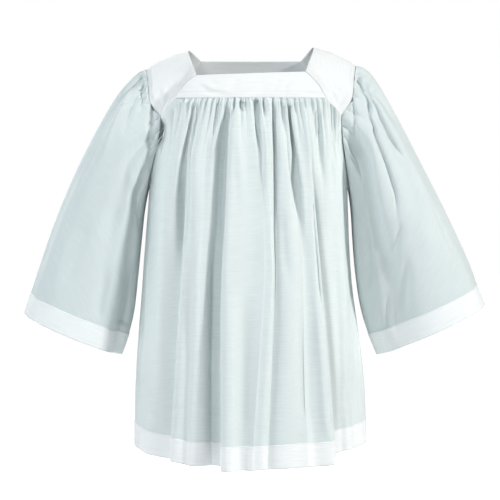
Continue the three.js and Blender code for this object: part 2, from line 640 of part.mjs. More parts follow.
// A sleeve, as rings round the arm.
class Sleeve {
  constructor(side, lines, panels) {
    this.side = side;
    this.lines = lines;
    this.head = armhole(side, panels);
  }

  // The plain ring at a share of the length.
  ring(turn, share) {
    const at = (column) => read(SLEEVE, "share", column, share);
    const innerX = bodyPoint((this.side * Math.PI) / 2, at("innerZ")).x + this.side * at("clear");
    const outerX = this.side * at("outerX") + at("skew");
    const outerZ = at("outerZ") + this.side * lerp(NECK_TILT, CUFF_TILT, share);
    const across = (1 + Math.cos(turn)) / 2;
    const boxed = Math.sign(Math.sin(turn)) * Math.abs(Math.sin(turn)) ** lerp(INNER_BOX, 1, across);
    return new THREE.Vector3(
      lerp(innerX, outerX, across),
      -boxed * at("deep") * (1 + at("egg") * Math.cos(turn)),
      lerp(at("innerZ"), outerZ, across),
    );
  }

  foldHeight(turn, share) {
    return this.lines.reduce((sum, { head, cuff, wide, high }) => {
      const apart = Math.abs(turn - degToRad(lerp(head, cuff, share))) % FULL_TURN;
      const reach = degToRad(wide * lerp(...FOLD_WIDENING, share));
      const away = Math.min(apart, FULL_TURN - apart) / reach;
      const upper = lerp(high[0], high[1], Math.min(share / HALF_WAY, 1));
      const height = lerp(upper, high[2], Math.max((share - HALF_WAY) / (1 - HALF_WAY), 0));
      return sum + height * smoothstep(share, 0, SLEEVE_FOLD_ONSET) * Math.exp(-(away ** 2));
    }, 0);
  }

  gather(turn, share) {
    const down = share * SLEEVE_OUTER_LENGTH;
    const pinch = Math.abs(Math.sin((turn * SLEEVE_GATHERS) / 2)) ** GATHER_ROUND;
    const fading = smoothstep(down, 0, SLEEVE_GATHER_ONSET) * Math.exp(-down / SLEEVE_GATHER_LENGTH);
    const fromUnderarm = smoothstep(Math.cos(turn), -UNGATHERED, 0);
    return SLEEVE_GATHER_HEIGHT * (pinch - SLEEVE_GATHER_MIDDLE) * fading * fromUnderarm;
  }

  // The armhole's edge, moved outside the panels' walls towards the underarm.
  start(turn) {
    const edge = this.head(turn);
    const low = (1 - Math.cos(turn)) / 2;
    const outside = HEAD_OUTSIDE * smoothstep(low, HEAD_OUTSIDE_FROM, HEAD_OUTSIDE_FULL);
    const away = new THREE.Vector3(edge.x, edge.y * HEAD_DEPTHWAYS, 0).normalize();
    edge.addScaledVector(away, outside);
    return edge.setX(edge.x + this.side * HEAD_ASIDE);
  }

  point(turn, share) {
    const ring = this.ring(turn, share);
    const carried = this.start(turn).add(ring).sub(this.ring(turn, 0));
    const plain = carried.lerp(ring, smoothstep(share, 0, HEAD_SHARE));
    const middle = this.ring(0, share).add(this.ring(Math.PI, share)).multiplyScalar(0.5);
    const out = plain.clone().sub(middle).normalize();
    return plain.addScaledVector(out, this.foldHeight(turn, share) + this.gather(turn, share));
  }

  // The share of the length at which the cuff's band begins, so that the band is even all round.
  seamShare(turn, gap) {
    const length = lerp(SLEEVE_INNER_LENGTH, SLEEVE_OUTER_LENGTH, (1 + Math.cos(turn)) / 2);
    return 1 - (CUFF_DEPTH + gap) / length;
  }

  ringOf(count, shareOf) {
    return Array.from({ length: count }, (_, i) => {
      const turn = (i / count) * FULL_TURN;
      return this.point(turn, shareOf(turn));
    });
  }

  cloth() {
    const fine = SLEEVE_GATHERS * COLUMNS_PER_GATHER;
    const seam = (turn) => this.seamShare(turn, SEAM_GAP / 2);
    const rows = [
      ...FINE_SHARES.map((share) => this.ringOf(fine, (turn) => share * seam(turn))),
      ...COARSE_SHARES.map((share) => this.ringOf(fine / 2, (turn) => share * seam(turn))),
      this.ringOf(fine / 2, seam),
    ];
    return new Surface(rows, { closed: true, flip: this.side > 0 }).wall(CLOTH_WALL);
  }

  cuff() {
    const count = (SLEEVE_GATHERS * COLUMNS_PER_GATHER) / 2;
    const rows = [this.ringOf(count, (t) => this.seamShare(t, -SEAM_GAP / 2)), this.ringOf(count, () => 1)];
    return new Surface(rows, { closed: true, flip: this.side > 0 }).wall(HEM_WALL);
  }
}

const CLOTH = { color: 0xd9e3e2, roughness: 0.85, metalness: 0 };
const DOUBLED = { color: 0xf2f5f6, roughness: 0.8, metalness: 0 };

const surplice = new THREE.Group();

function add(name, geometry, finish) {
  const mesh = new THREE.Mesh(geometry, new THREE.MeshStandardMaterial(finish));
  mesh.name = name;
  surplice.add(mesh);
}

const yoke = new Yoke();
for (const name of Yoke.ORDER) add(`yoke_${name}`, yoke.piece(name), DOUBLED);

const panels = [
  new Panel("front", FRONT_LINES, FRONT_LOBES),
  new Panel("back", BACK_LINES, BACK_LOBES),
];
for (const panel of panels) {
  add(panel.panel, panel.cloth(), CLOTH);
  add(`hem_${panel.panel}`, panel.hem(), DOUBLED);
}

for (const [name, side, lines] of [
  ["left", 1, LEFT_SLEEVE_LINES],
  ["right", -1, RIGHT_SLEEVE_LINES],
]) {
  const sleeve = new Sleeve(side, lines, panels);
  add(`sleeve_${name}`, sleeve.cloth(), CLOTH);
  add(`cuff_${name}`, sleeve.cuff(), DOUBLED);
}

export default surplice;
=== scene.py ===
"""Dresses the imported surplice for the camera.

Everything is worked out in the frame of the solids, in millimetres, and becomes metres when a mesh is made:
+Z is up, +X is the wearer's left, and the front faces -Y. Each piece of cloth is a grid of points on the form
of its solid, with its own gathers and creases, and the doubled pieces are closed shells.

A crease that the photograph shows is placed by where it is seen from the camera, in points of a picture 500
points wide. The back and the hidden side of the sleeves have similar ones.
"""

from __future__ import annotations

import json
import logging
import math
from dataclasses import dataclass, field, replace
from enum import Enum, StrEnum

import bpy
import numpy as np
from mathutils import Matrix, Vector

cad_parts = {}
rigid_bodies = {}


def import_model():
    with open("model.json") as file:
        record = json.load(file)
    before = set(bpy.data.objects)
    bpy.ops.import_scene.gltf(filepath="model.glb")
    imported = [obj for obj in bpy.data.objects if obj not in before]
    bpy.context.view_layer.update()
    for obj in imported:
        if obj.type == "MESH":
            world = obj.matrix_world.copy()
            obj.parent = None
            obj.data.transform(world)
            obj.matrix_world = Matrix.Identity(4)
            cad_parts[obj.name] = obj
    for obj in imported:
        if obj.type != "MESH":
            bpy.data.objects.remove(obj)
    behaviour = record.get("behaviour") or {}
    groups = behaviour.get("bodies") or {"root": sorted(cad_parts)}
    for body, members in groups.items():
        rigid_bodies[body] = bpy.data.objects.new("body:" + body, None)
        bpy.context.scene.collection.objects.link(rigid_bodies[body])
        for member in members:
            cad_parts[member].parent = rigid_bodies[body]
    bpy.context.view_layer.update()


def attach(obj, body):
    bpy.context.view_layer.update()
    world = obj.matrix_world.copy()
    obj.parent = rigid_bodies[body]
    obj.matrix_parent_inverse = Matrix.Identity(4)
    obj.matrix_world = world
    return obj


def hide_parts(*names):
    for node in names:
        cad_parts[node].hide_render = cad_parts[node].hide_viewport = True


log = logging.getLogger("surplice")

Array = np.ndarray
Pair = tuple[float, float]

METRE = 1000.0
FULL_TURN = 2 * math.pi
# Turns a point half round the upright axis, so that the back can be seen as the front is.
TURNED = np.array([-1.0, -1.0, 1.0])


class Face(StrEnum):
    """The side of the body that a panel or a straight yoke piece lies on."""

    FRONT = "front"
    BACK = "back"


# Lengths and heights of the garment in millimetres, and the powers and shares that shape it.
HEM_DEPTH = 47.0
CUFF_DEPTH = 44.0
SEAM_Z = {Face.FRONT: -103.0, Face.BACK: -96.0}
YOKE_CORNER_X = 144.0
YOKE_END_X = 175.0
YOKE_END_Z = {Face.FRONT: -136.0, Face.BACK: -122.0}
YOKE_BULGE = 4.0
UNDERARM_Z = -275.0
ARMHOLE_CURVE = 0.5
HEM_Z = {Face.FRONT: -809.0, Face.BACK: -808.0}
HEM_SIDE_Z = -784.0
HEM_CURVE = 3
NECK_TILT = 3.5
HEM_TILT = 2.5
CUFF_TILT = 8.0
CHEST_Z = -200.0
WAIST_Z = -430.0
FOLD_ONSET = 90.0
LAP_START = 20.0
LAP_ONSET = 160.0
LAP_REACH = 0.12
SLEEVE_OUTER_LENGTH = 620.0
SLEEVE_INNER_LENGTH = 290.0
INNER_BOX = 0.72
HEAD_SHARE = 0.22
HEM_THICK = 1.5
YOKE_THICK = 1.4
SEAM_TUCK = 2.0
HEM_TUCK = 4.0
WIDEST_SHARE = 0.995
SHORTEST_FADE = 1e-3


def lerp(a: Array | float, b: Array | float, t: Array | float) -> Array | float:
    """A value between two others.

    Args:
        a: The value at t = 0.
        b: The value at t = 1.
        t: The share of the way.

    Returns:
        a + (b - a) t.
    """
    return a + (b - a) * t


def smoothstep(x: Array | float, low: float, high: float) -> Array:
    """A smooth rise from 0 at low to 1 at high.

    Args:
        x: Where it is read.
        low: The start of the rise.
        high: The end of the rise.

    Returns:
        t² (3 - 2 t), with t = (x - low) / (high - low) kept from 0 to 1.
    """
    t = np.clip((np.asarray(x, float) - low) / (high - low), 0, 1)
    return t * t * (3 - 2 * t)


def unit(vectors: Array) -> Array:
    """Vectors at length 1.

    Args:
        vectors: Any number of vectors, along the last axis.

    Returns:
        The same, each divided by its length.
    """
    return vectors / np.maximum(np.linalg.norm(vectors, axis=-1, keepdims=True), 1e-12)


@dataclass(frozen=True)
class Table:
    """Named columns, each a smooth function of the first."""

    names: str
    rows: tuple[tuple[float, ...], ...]

    def read(self, column: str, at: Array | float) -> Array:
        """A column at any place, on cubics whose slope at a row is that of the chord between its neighbours.

        Args:
            column: The column's name.
            at: The places, in the first column's units.

        Returns:
            p (1 + 2t) (1 - t)² + q t² (3 - 2t) + s₀ h t (1 - t)² - s₁ h t² (1 - t) in each span of height h.
        """
        data = np.array(self.rows, float)
        if data[-1, 0] < data[0, 0]:
            data = data[::-1]
        x, y = data[:, 0], data[:, self.names.split().index(column)]
        before, after = np.maximum(np.arange(len(x)) - 1, 0), np.minimum(np.arange(len(x)) + 1, len(x) - 1)
        slope = (y[after] - y[before]) / (x[after] - x[before])
        at = np.clip(np.asarray(at, float), x[0], x[-1])
        i = np.clip(np.searchsorted(x, at) - 1, 0, len(x) - 2)
        h = x[i + 1] - x[i]
        t = (at - x[i]) / h
        ends = y[i] * (1 + 2 * t) * (1 - t) ** 2 + y[i + 1] * t * t * (3 - 2 * t)
        return ends + slope[i] * h * t * (1 - t) ** 2 - slope[i + 1] * h * t * t * (1 - t)


BODY = Table(
    "z half front back box shift",
    (
        (0, 200, 104, 96, 2.7, 0),
        (-100, 203, 124, 110, 2.7, 0),
        (-150, 200, 132, 116, 2.6, 0),
        (-275, 197, 140, 124, 2.5, -5),
        (-450, 206, 150, 138, 2.4, -8),
        (-650, 227, 162, 154, 2.3, -2),
        (-820, 232, 174, 168, 2.2, -1),
    ),
)
NECK = {"front": (105.0, -96.0, -55.0), "top": (124.0, 2.0, -1.0), "back": (102.0, 88.0, -18.0)}
NECK_BOW = {Face.FRONT: -7.0, Face.BACK: 6.0}
SHOULDER = ((196, -72, -104), (202, -40, -64), (208, 0, -37), (202, 36, -56), (197, 66, -92))
SLEEVE = Table(
    "share outerX outerZ skew clear innerZ deep egg",
    (
        (0.0, 208, -37, 0, 4, -275, 92, 0.0),
        (0.06, 226, -44, 2, 6, -296, 96, 0.02),
        (0.13, 248, -67, 0, 8, -320, 98, 0.06),
        (0.22, 270, -99, -3, 9, -352, 98, 0.12),
        (0.35, 301, -153, -4, 10, -398, 96, 0.2),
        (0.5, 342, -232, -4, 11, -448, 93, 0.24),
        (0.7, 392, -338, 0, 13, -520, 90, 0.22),
        (0.85, 429, -428, 5, 19, -568, 90, 0.18),
        (1.0, 461, -516, 7, 28, -610, 92, 0.12),
    ),
)

# A fold line of a panel: its x at seam, chest, waist and hem, then how far it stands out and how far the
# cloth beside it laps over it, each at chest, waist and hem.
LINE_COLUMNS = "seam chest waist hem deep0 deep1 deep2 lap0 lap1 lap2".split()
LINES = {
    Face.FRONT: (
        (-175, -175, -203, -222, 0, 3, 3, 0, 0, 0),
        (-106, -128, -140, -166, -8, -10, -13, 0, 0, 0),
        (-66, -86, -100, -112, -3, 4, 6, 0, 0, 0),
        (-42, -49, -57, -53, -13, -19, -22, 3, 11, 14),
        (9, 20, 24, 2, 2, 9, 20, 0, 0, 0),
        (42, 45, 48, 30, -6, -3, 8, 0, 0, 0),
        (70, 84, 96, 96, -9, 4, 22, 0, 0, 0),
        (104, 115, 129, 154, -6, -19, -30, 0, -12, -16),
        (175, 175, 192, 211, 0, -2, -7, 0, 0, 0),
    ),
    Face.BACK: (
        (-175, -175, -196, -214, 0, 0, -3, 0, 0, 0),
        (-128, -136, -150, -172, -5, -10, -14, 0, 0, 0),
        (-88, -94, -102, -112, -6, -13, -20, 0, 0, 0),
        (-48, -46, -42, -38, -5, -10, -15, 0, 0, 0),
        (-4, 0, 8, 16, -6, -14, -22, 0, 0, 0),
        (42, 48, 58, 72, -6, -11, -16, 0, 0, 0),
        (88, 96, 110, 128, -5, -12, -19, 0, 0, 0),
        (128, 138, 154, 180, -5, -9, -13, 0, 0, 0),
        (175, 175, 196, 216, 0, -2, -6, 0, 0, 0),
    ),
}
# A lobe between two fold lines: its crest at chest, waist and hem, where the crest lies, and the hem's rise.
LOBE_COLUMNS = "crest0 crest1 crest2 lean rise".split()
LOBES = {
    Face.FRONT: (
        (1, 2, 2, 0.5, 0),
        (3, 6, 8, 0.55, 2),
        (5, 9, 12, 0.5, 3),
        (1, 3, 4, 0.36, 4),
        (8, 15, 22, 0.3, 0),
        (7, 12, 22, 0.5, 2),
        (5, 10, 22, 0.5, 2),
        (5, 13, 28, 0.7, -4),
        (3, 2, 0, 0.62, 4),
        (1, 2, 3, 0.5, 3),
    ),
    Face.BACK: (
        (1, 2, 2, 0.5, 0),
        (2, 4, 6, 0.5, 0),
        (3, 9, 16, 0.44, 0),
        (5, 12, 20, 0.56, 0),
        (4, 10, 18, 0.42, 0),
        (5, 12, 22, 0.5, 0),
        (4, 10, 18, 0.58, 0),
        (3, 8, 14, 0.5, 0),
        (2, 3, 3, 0.5, 0),
        (1, 2, 4, 0.5, 0),
    ),
}
# A sleeve's fold: the turn round the arm at head and cuff and its half width, in degrees, and its height at
# head, middle and cuff.
SLEEVE_LINES = {
    1: (
        (28, 16, 10, -6, -5, -2),
        (50, 58, 11, -9, -7, 0),
        (96, 122, 14, -9, -13, -6),
        (140, 160, 13, -3, -8, -8),
        (214, 200, 12, -3, -9, -10),
        (262, 246, 13, -8, -10, -7),
        (310, 300, 12, -8, -6, -2),
    ),
    -1: (
        (22, 20, 9, -6, -7, -2),
        (62, 70, 12, -5, -2, 0),
        (92, 112, 11, -9, -6, -3),
        (128, 158, 13, -5, -8, -12),
        (206, 198, 12, -3, -9, -10),
        (256, 240, 14, -8, -11, -8),
        (305, 296, 11, -8, -6, -3),
    ),
}


@dataclass(frozen=True)
class View:
    """The camera, and where it sees a point, in points of a picture 500 points wide."""

    aim: tuple[float, float, float] = (-2.0, 0.0, -400.0)
    distance: float = 3000.0
    elevation: float = math.radians(3)
    lens: float = 108.0
    sensor: float = 36.0
    picture: float = 500.0

    @property
    def place(self) -> Array:
        """Where the camera is, in millimetres."""
        return np.array(self.aim) - self.distance * self.ahead

    @property
    def ahead(self) -> Array:
        """The direction that the camera looks in."""
        return np.array([0.0, math.cos(self.elevation), -math.sin(self.elevation)])

    def seen(self, points: Array) -> tuple[Array, Array]:
        """Picture points of places in space.

        Args:
            points: Places, along the last axis, in millimetres.

        Returns:
            Across and down: half the picture ± lens / sensor · picture · offset / depth.
        """
        offset = points - self.place
        up = np.array([0.0, math.sin(self.elevation), math.cos(self.elevation)])
        scale = self.picture * self.lens / self.sensor / (offset @ self.ahead)
        half = self.picture / 2
        return half + offset[..., 0] * scale, half - (offset @ up) * scale


VIEW = View()


class Form(Enum):
    """The section of a crease."""

    SOFT = "a round trough or ridge"
    SHARP = "a narrow one with a point"
    LAPPED = "one side stands over the other"


@dataclass(frozen=True)
class Crease:
    """A crease, along a line in the picture.

    Its height is in millimetres, negative in a trough, and its width in points of the picture. It fades in
    and out over two shares of its length. A lapped one stands out on the side to the right of its line as it
    runs, and sinks on the other.
    """

    path: tuple[Pair, ...]
    width: float
    height: float
    form: Form = Form.SOFT
    fade: Pair = (0.25, 0.45)

    def relief(self, across: Array, down: Array) -> Array:
        """How far the crease moves points of the cloth out.

        Args:
            across: Where the points are seen, across the picture.
            down: The same, down the picture.

        Returns:
            The height times a section of the distance d from the line: exp(-(d/w)²), exp(-|d|/w) or
            d/w exp(½ - ½ (d/w)²), which fades in and out along the line.
        """
        path = np.array(self.path, float)
        steps = np.linalg.norm(np.diff(path, axis=0), axis=1)
        so_far = np.concatenate([[0.0], np.cumsum(steps)])
        best = np.full(across.shape, np.inf)
        side, along = np.zeros(across.shape), np.zeros(across.shape)
        for (x, y), (dx, dy), step, start in zip(path, np.diff(path, axis=0), steps, so_far):
            t = np.clip(((across - x) * dx + (down - y) * dy) / step**2, 0, 1)
            off_x, off_y = across - x - t * dx, down - y - t * dy
            apart = np.hypot(off_x, off_y)
            nearer = apart < best
            best = np.where(nearer, apart, best)
            side = np.where(nearer, np.sign(off_x * dy - off_y * dx), side)
            along = np.where(nearer, (start + t * step) / so_far[-1], along)
        d = best / self.width
        if self.form is Form.SOFT:
            section = np.exp(-(d**2))
        elif self.form is Form.SHARP:
            section = np.exp(-d)
        else:
            section = side * d * np.exp(0.5 - 0.5 * d**2)
        rise, fall = (max(share, SHORTEST_FADE) for share in self.fade)
        ends = smoothstep(along, 0, rise) * smoothstep(1 - along, 0, fall)
        return self.height * section * ends


def relief(creases: tuple[Crease, ...], across: Array, down: Array) -> Array:
    """The sum of many creases.

    Args:
        creases: The creases.
        across: Where the points are seen, across the picture.
        down: The same, down the picture.

    Returns:
        How far each point moves out, in millimetres.
    """
    return sum((crease.relief(across, down) for crease in creases), np.zeros(across.shape))


# The creases of the front panel, besides its main folds.
FRONT_CREASES = (
    Crease(
        ((196, 102), (190, 124), (182.5, 165), (179.6, 200), (178.9, 240)),
        3.0, -4.8, Form.SHARP, (0.05, 0.5),
    ),
    Crease(
        ((228, 104), (227.3, 139), (225, 190), (223.6, 227), (221, 300)),
        2.2, -6.8, Form.SHARP, (0.05, 0.5),
    ),
    Crease(((256, 99), (257.4, 127), (263, 160)), 2.2, -6.8, Form.SHARP, (0.02, 0.5)),
    Crease(((273.5, 102), (275, 154), (275, 250), (275, 325)), 3.4, -3.2, Form.SHARP, (0.05, 0.6)),
    Crease(
        ((287.4, 104), (291, 130), (295.5, 157), (300, 190), (302, 225)),
        2.6, -7.5, Form.SHARP, (0.03, 0.5),
    ),
    Crease(((316, 108), (320, 154), (327, 200)), 4.0, -4.5, Form.SOFT, (0.1, 0.5)),
    Crease(((313.5, 175), (316.5, 230), (320, 286), (323, 325)), 3.0, -5.0, Form.SHARP, (0.3, 0.3)),
    Crease(((219, 102), (214, 128), (211, 150)), 2.2, -3.9, Form.SHARP, (0.05, 0.6)),
    Crease(((243, 101), (242.5, 116)), 2.4, -4.5, Form.SOFT, (0.1, 0.6)),
    Crease(((236, 104), (238, 150), (244, 215)), 4.5, 3.3, Form.SOFT, (0.1, 0.6)),
    Crease(((266, 110), (268, 160), (266, 220)), 4.5, 3.6, Form.SOFT, (0.1, 0.6)),
    Crease(((306, 104), (310, 140), (313, 180)), 4.0, 3.6, Form.SOFT, (0.1, 0.6)),
    Crease(((278, 198), (284, 249), (292.6, 300)), 6.0, -2.4, Form.SOFT, (0.3, 0.4)),
    Crease(((160, 118), (159.5, 132), (158.5, 152)), 3.0, -3.6, Form.SHARP, (0.3, 0.6)),
    Crease(((163, 117), (161.5, 134), (159.5, 158)), 4.0, -4.5, Form.SOFT, (0.2, 0.5)),
    Crease(((173, 106), (170, 128), (166, 175)), 3.0, -4.6, Form.SHARP, (0.1, 0.6)),
    Crease(((181, 101), (177, 122), (172, 150)), 2.6, -3.6, Form.SHARP, (0.1, 0.6)),
    Crease(((204, 140), (200, 200), (197, 280), (196, 360)), 8.0, 3.9, Form.SOFT, (0.3, 0.4)),
    Crease(((152, 190), (150, 260), (149, 340), (151, 420)), 6.0, -3.6, Form.SOFT, (0.3, 0.3)),
    Crease(((244, 260), (243, 330), (241, 400), (240, 440)), 8.0, -3.3, Form.SOFT, (0.4, 0.2)),
    Crease(((301, 300), (303, 360), (305, 430)), 7.0, -3.6, Form.SOFT, (0.4, 0.2)),
    Crease(((338, 130), (334, 165), (334, 210)), 3.4, -4.5, Form.SOFT, (0.2, 0.5)),
    Crease(((331, 101), (333, 125), (335, 150)), 2.4, -3.9, Form.SHARP, (0.1, 0.6)),
    Crease(((346, 240), (350, 300), (350, 370), (348, 430)), 4.0, -3.9, Form.LAPPED, (0.3, 0.3)),
    Crease(((358, 330), (360, 370), (361, 420)), 2.4, -3.3, Form.SHARP, (0.3, 0.3)),
    Crease(((143, 235), (141, 300), (140, 370)), 3.0, -3.0, Form.SHARP, (0.4, 0.4)),
    Crease(
        ((228, 104), (227.3, 139), (225, 190), (223.6, 227), (221.4, 264), (220, 325),
         (219.5, 409), (221, 490)),
        4.2, 5.2, Form.LAPPED, (0.1, 0.05),
    ),
    Crease(
        ((317.5, 230), (320, 286), (323, 325), (326.5, 368), (329.8, 418), (331, 440)),
        4.0, -3.0, Form.LAPPED, (0.5, 0.1),
    ),
    Crease(
        ((196, 104), (190, 124), (182.5, 165), (179.6, 200), (178.9, 234), (178, 277)),
        4.0, -3.6, Form.LAPPED, (0.1, 0.4),
    ),
    Crease(
        ((287.4, 104), (291, 130), (295.5, 157), (300, 190), (303, 250)),
        3.4, 4.8, Form.LAPPED, (0.1, 0.5),
    ),
    Crease(((273.5, 102), (275, 154), (275, 250), (275, 325)), 3.8, 2.4, Form.LAPPED, (0.1, 0.6)),
    Crease(((217, 215), (215, 300), (213.5, 370), (214, 490)), 6.5, -8.0, Form.SOFT, (0.3, 0.05)),
    Crease(((199, 230), (197, 320), (195, 490)), 7.0, 4.0, Form.SOFT, (0.4, 0.05)),
    Crease(((230, 240), (229, 330), (230, 490)), 5.0, 3.6, Form.SOFT, (0.4, 0.05)),
    Crease(((333, 190), (339, 280), (343, 350), (345, 490)), 7.0, -6.0, Form.SOFT, (0.3, 0.05)),
    Crease(((186, 150), (187, 220), (186, 300)), 5.0, -3.6, Form.SOFT, (0.4, 0.5)),
)  # fmt: skip

# The creases of each sleeve that the camera sees. The hidden half takes the other sleeve's, mirrored.
SLEEVE_CREASES = {
    1: (
        Crease(
            ((357, 73), (367, 96), (376, 133), (388, 167), (395.5, 194), (398, 232)),
            2.6, -9.0, Form.SHARP, (0.02, 0.4),
        ),
        Crease(((365, 77), (378, 110), (390, 136.5), (407, 161)), 2.6, -6.9, Form.SHARP, (0.1, 0.2)),
        Crease(
            ((352, 123), (357, 175), (361, 213), (367, 270), (372.5, 305)),
            6.0, -9.5, Form.SOFT, (0.2, 0.3),
        ),
        Crease(((366, 130), (372, 175), (380, 225), (386, 262)), 6.0, 4.5, Form.LAPPED, (0.3, 0.4)),
        Crease(((351, 90), (354, 112), (354, 150)), 2.0, -4.5, Form.SHARP, (0.1, 0.5)),
        Crease(((403, 219), (392, 251), (384, 263)), 3.0, -3.6, Form.SHARP, (0.3, 0.4)),
        Crease(((407, 250), (405, 285), (403, 322)), 5.0, -3.6, Form.SOFT, (0.4, 0.4)),
        Crease(((428, 192), (446, 232), (462, 275)), 4.0, -4.2, Form.SHARP, (0.4, 0.5)),
        Crease(((372, 84), (386, 104), (402, 132)), 3.0, -3.9, Form.SOFT, (0.1, 0.5)),
        Crease(((361, 75), (371, 104), (381, 140)), 3.0, 3.6, Form.SOFT, (0.1, 0.5)),
        Crease(((388, 290), (386, 314), (385, 336)), 2.4, -2.4, Form.SHARP, (0.4, 0.4)),
        Crease(((395, 300), (396, 336)), 2.4, -1.8, Form.SHARP, (0.4, 0.4)),
        Crease(((418, 180), (424, 220), (432, 262)), 8.0, 3.6, Form.SOFT, (0.4, 0.4)),
    ),
    -1: (
        Crease(((144, 73), (121, 94), (98, 136.5), (79, 182), (70, 206)), 2.6, -8.1, Form.SHARP, (0.02, 0.4)),
        Crease(((142, 82), (142, 98), (141, 116)), 2.2, -6.6, Form.SHARP, (0.1, 0.6)),
        Crease(((154, 100), (150, 140), (151, 182)), 3.6, -5.4, Form.SOFT, (0.1, 0.5)),
        Crease(((136.5, 255), (129, 300), (123, 328)), 6.0, -6.0, Form.SOFT, (0.4, 0.1)),
        Crease(((142, 178), (122, 206), (98, 236)), 12.0, -5.1, Form.SOFT, (0.3, 0.4)),
        Crease(((147, 76), (132, 104), (119, 146)), 3.0, -4.8, Form.SOFT, (0.1, 0.6)),
        Crease(((134, 84), (112, 128), (100, 164)), 3.4, 3.9, Form.SOFT, (0.2, 0.5)),
        Crease(((92, 210), (76, 250), (62, 292)), 8.0, -3.9, Form.SOFT, (0.4, 0.3)),
        Crease(((60, 200), (48, 236), (36, 276)), 4.0, -3.9, Form.SOFT, (0.4, 0.3)),
        Crease(((108, 262), (102, 296), (98, 322)), 5.0, -3.3, Form.SOFT, (0.4, 0.2)),
        Crease(((147, 150), (140, 190), (138, 240)), 4.0, -4.5, Form.SOFT, (0.3, 0.4)),
    ),
}

# The valleys between the gathers along the front seam: where each is across the picture, and how far down it
# runs, in millimetres.
FRONT_GATHERS = (
    (177, 30), (184, 70), (190.5, 40), (196, 90), (203, 50), (207.7, 38), (213.5, 60), (219, 80),
    (227.5, 120), (234.5, 46), (241, 30), (245.5, 40), (256, 90), (263, 50), (273, 120), (281, 44),
    (287, 110), (294, 50), (298.6, 34), (304, 60), (311.5, 56), (316, 90), (322, 40), (327, 52),
    (333, 44), (338, 36), (343, 30),
)  # fmt: skip


@dataclass
class Grid:
    """Rows and columns of points of one piece, in millimetres.

    A closed grid joins its last column to its first, a flipped one faces the other way, and one from below
    has its flat coordinates measured from its last row.
    """

    points: Array
    closed: bool = False
    flip: bool = False
    from_below: bool = False

    def normals(self) -> Array:
        """The outward normal at each point, from the steps to its neighbours down and across.

        Returns:
            The cross product of both steps, at length 1.
        """
        if self.closed:
            across = np.roll(self.points, -1, 1) - np.roll(self.points, 1, 1)
        else:
            across = np.gradient(self.points, axis=1)
        down = np.gradient(self.points, axis=0)
        return unit(np.cross(down, across)) * (-1 if self.flip else 1)

    def moved(self, out: Array | float) -> Grid:
        """The grid with each point moved along its normal.

        Args:
            out: How far, in millimetres.

        Returns:
            The new grid.
        """
        offset = np.broadcast_to(np.asarray(out, float), self.points.shape[:2])
        return replace(self, points=self.points + offset[..., None] * self.normals())

    def flat(self) -> Array:
        """Flat coordinates in metres, by the lengths run across the rows and down the columns.

        Returns:
            Across and down for every point, and for the column that closes a ring.
        """
        points = np.concatenate([self.points, self.points[:, :1]], 1) if self.closed else self.points
        across = np.linalg.norm(np.diff(points, axis=1), axis=-1).mean(0)
        down = np.linalg.norm(np.diff(points, axis=0), axis=-1)
        u = np.concatenate([[0.0], np.cumsum(across)])
        v = np.concatenate([np.zeros((1, points.shape[1])), np.cumsum(down, 0)])
        if self.from_below:
            v = v[-1] - v
        return np.stack([np.broadcast_to(u, v.shape), v], -1) / METRE


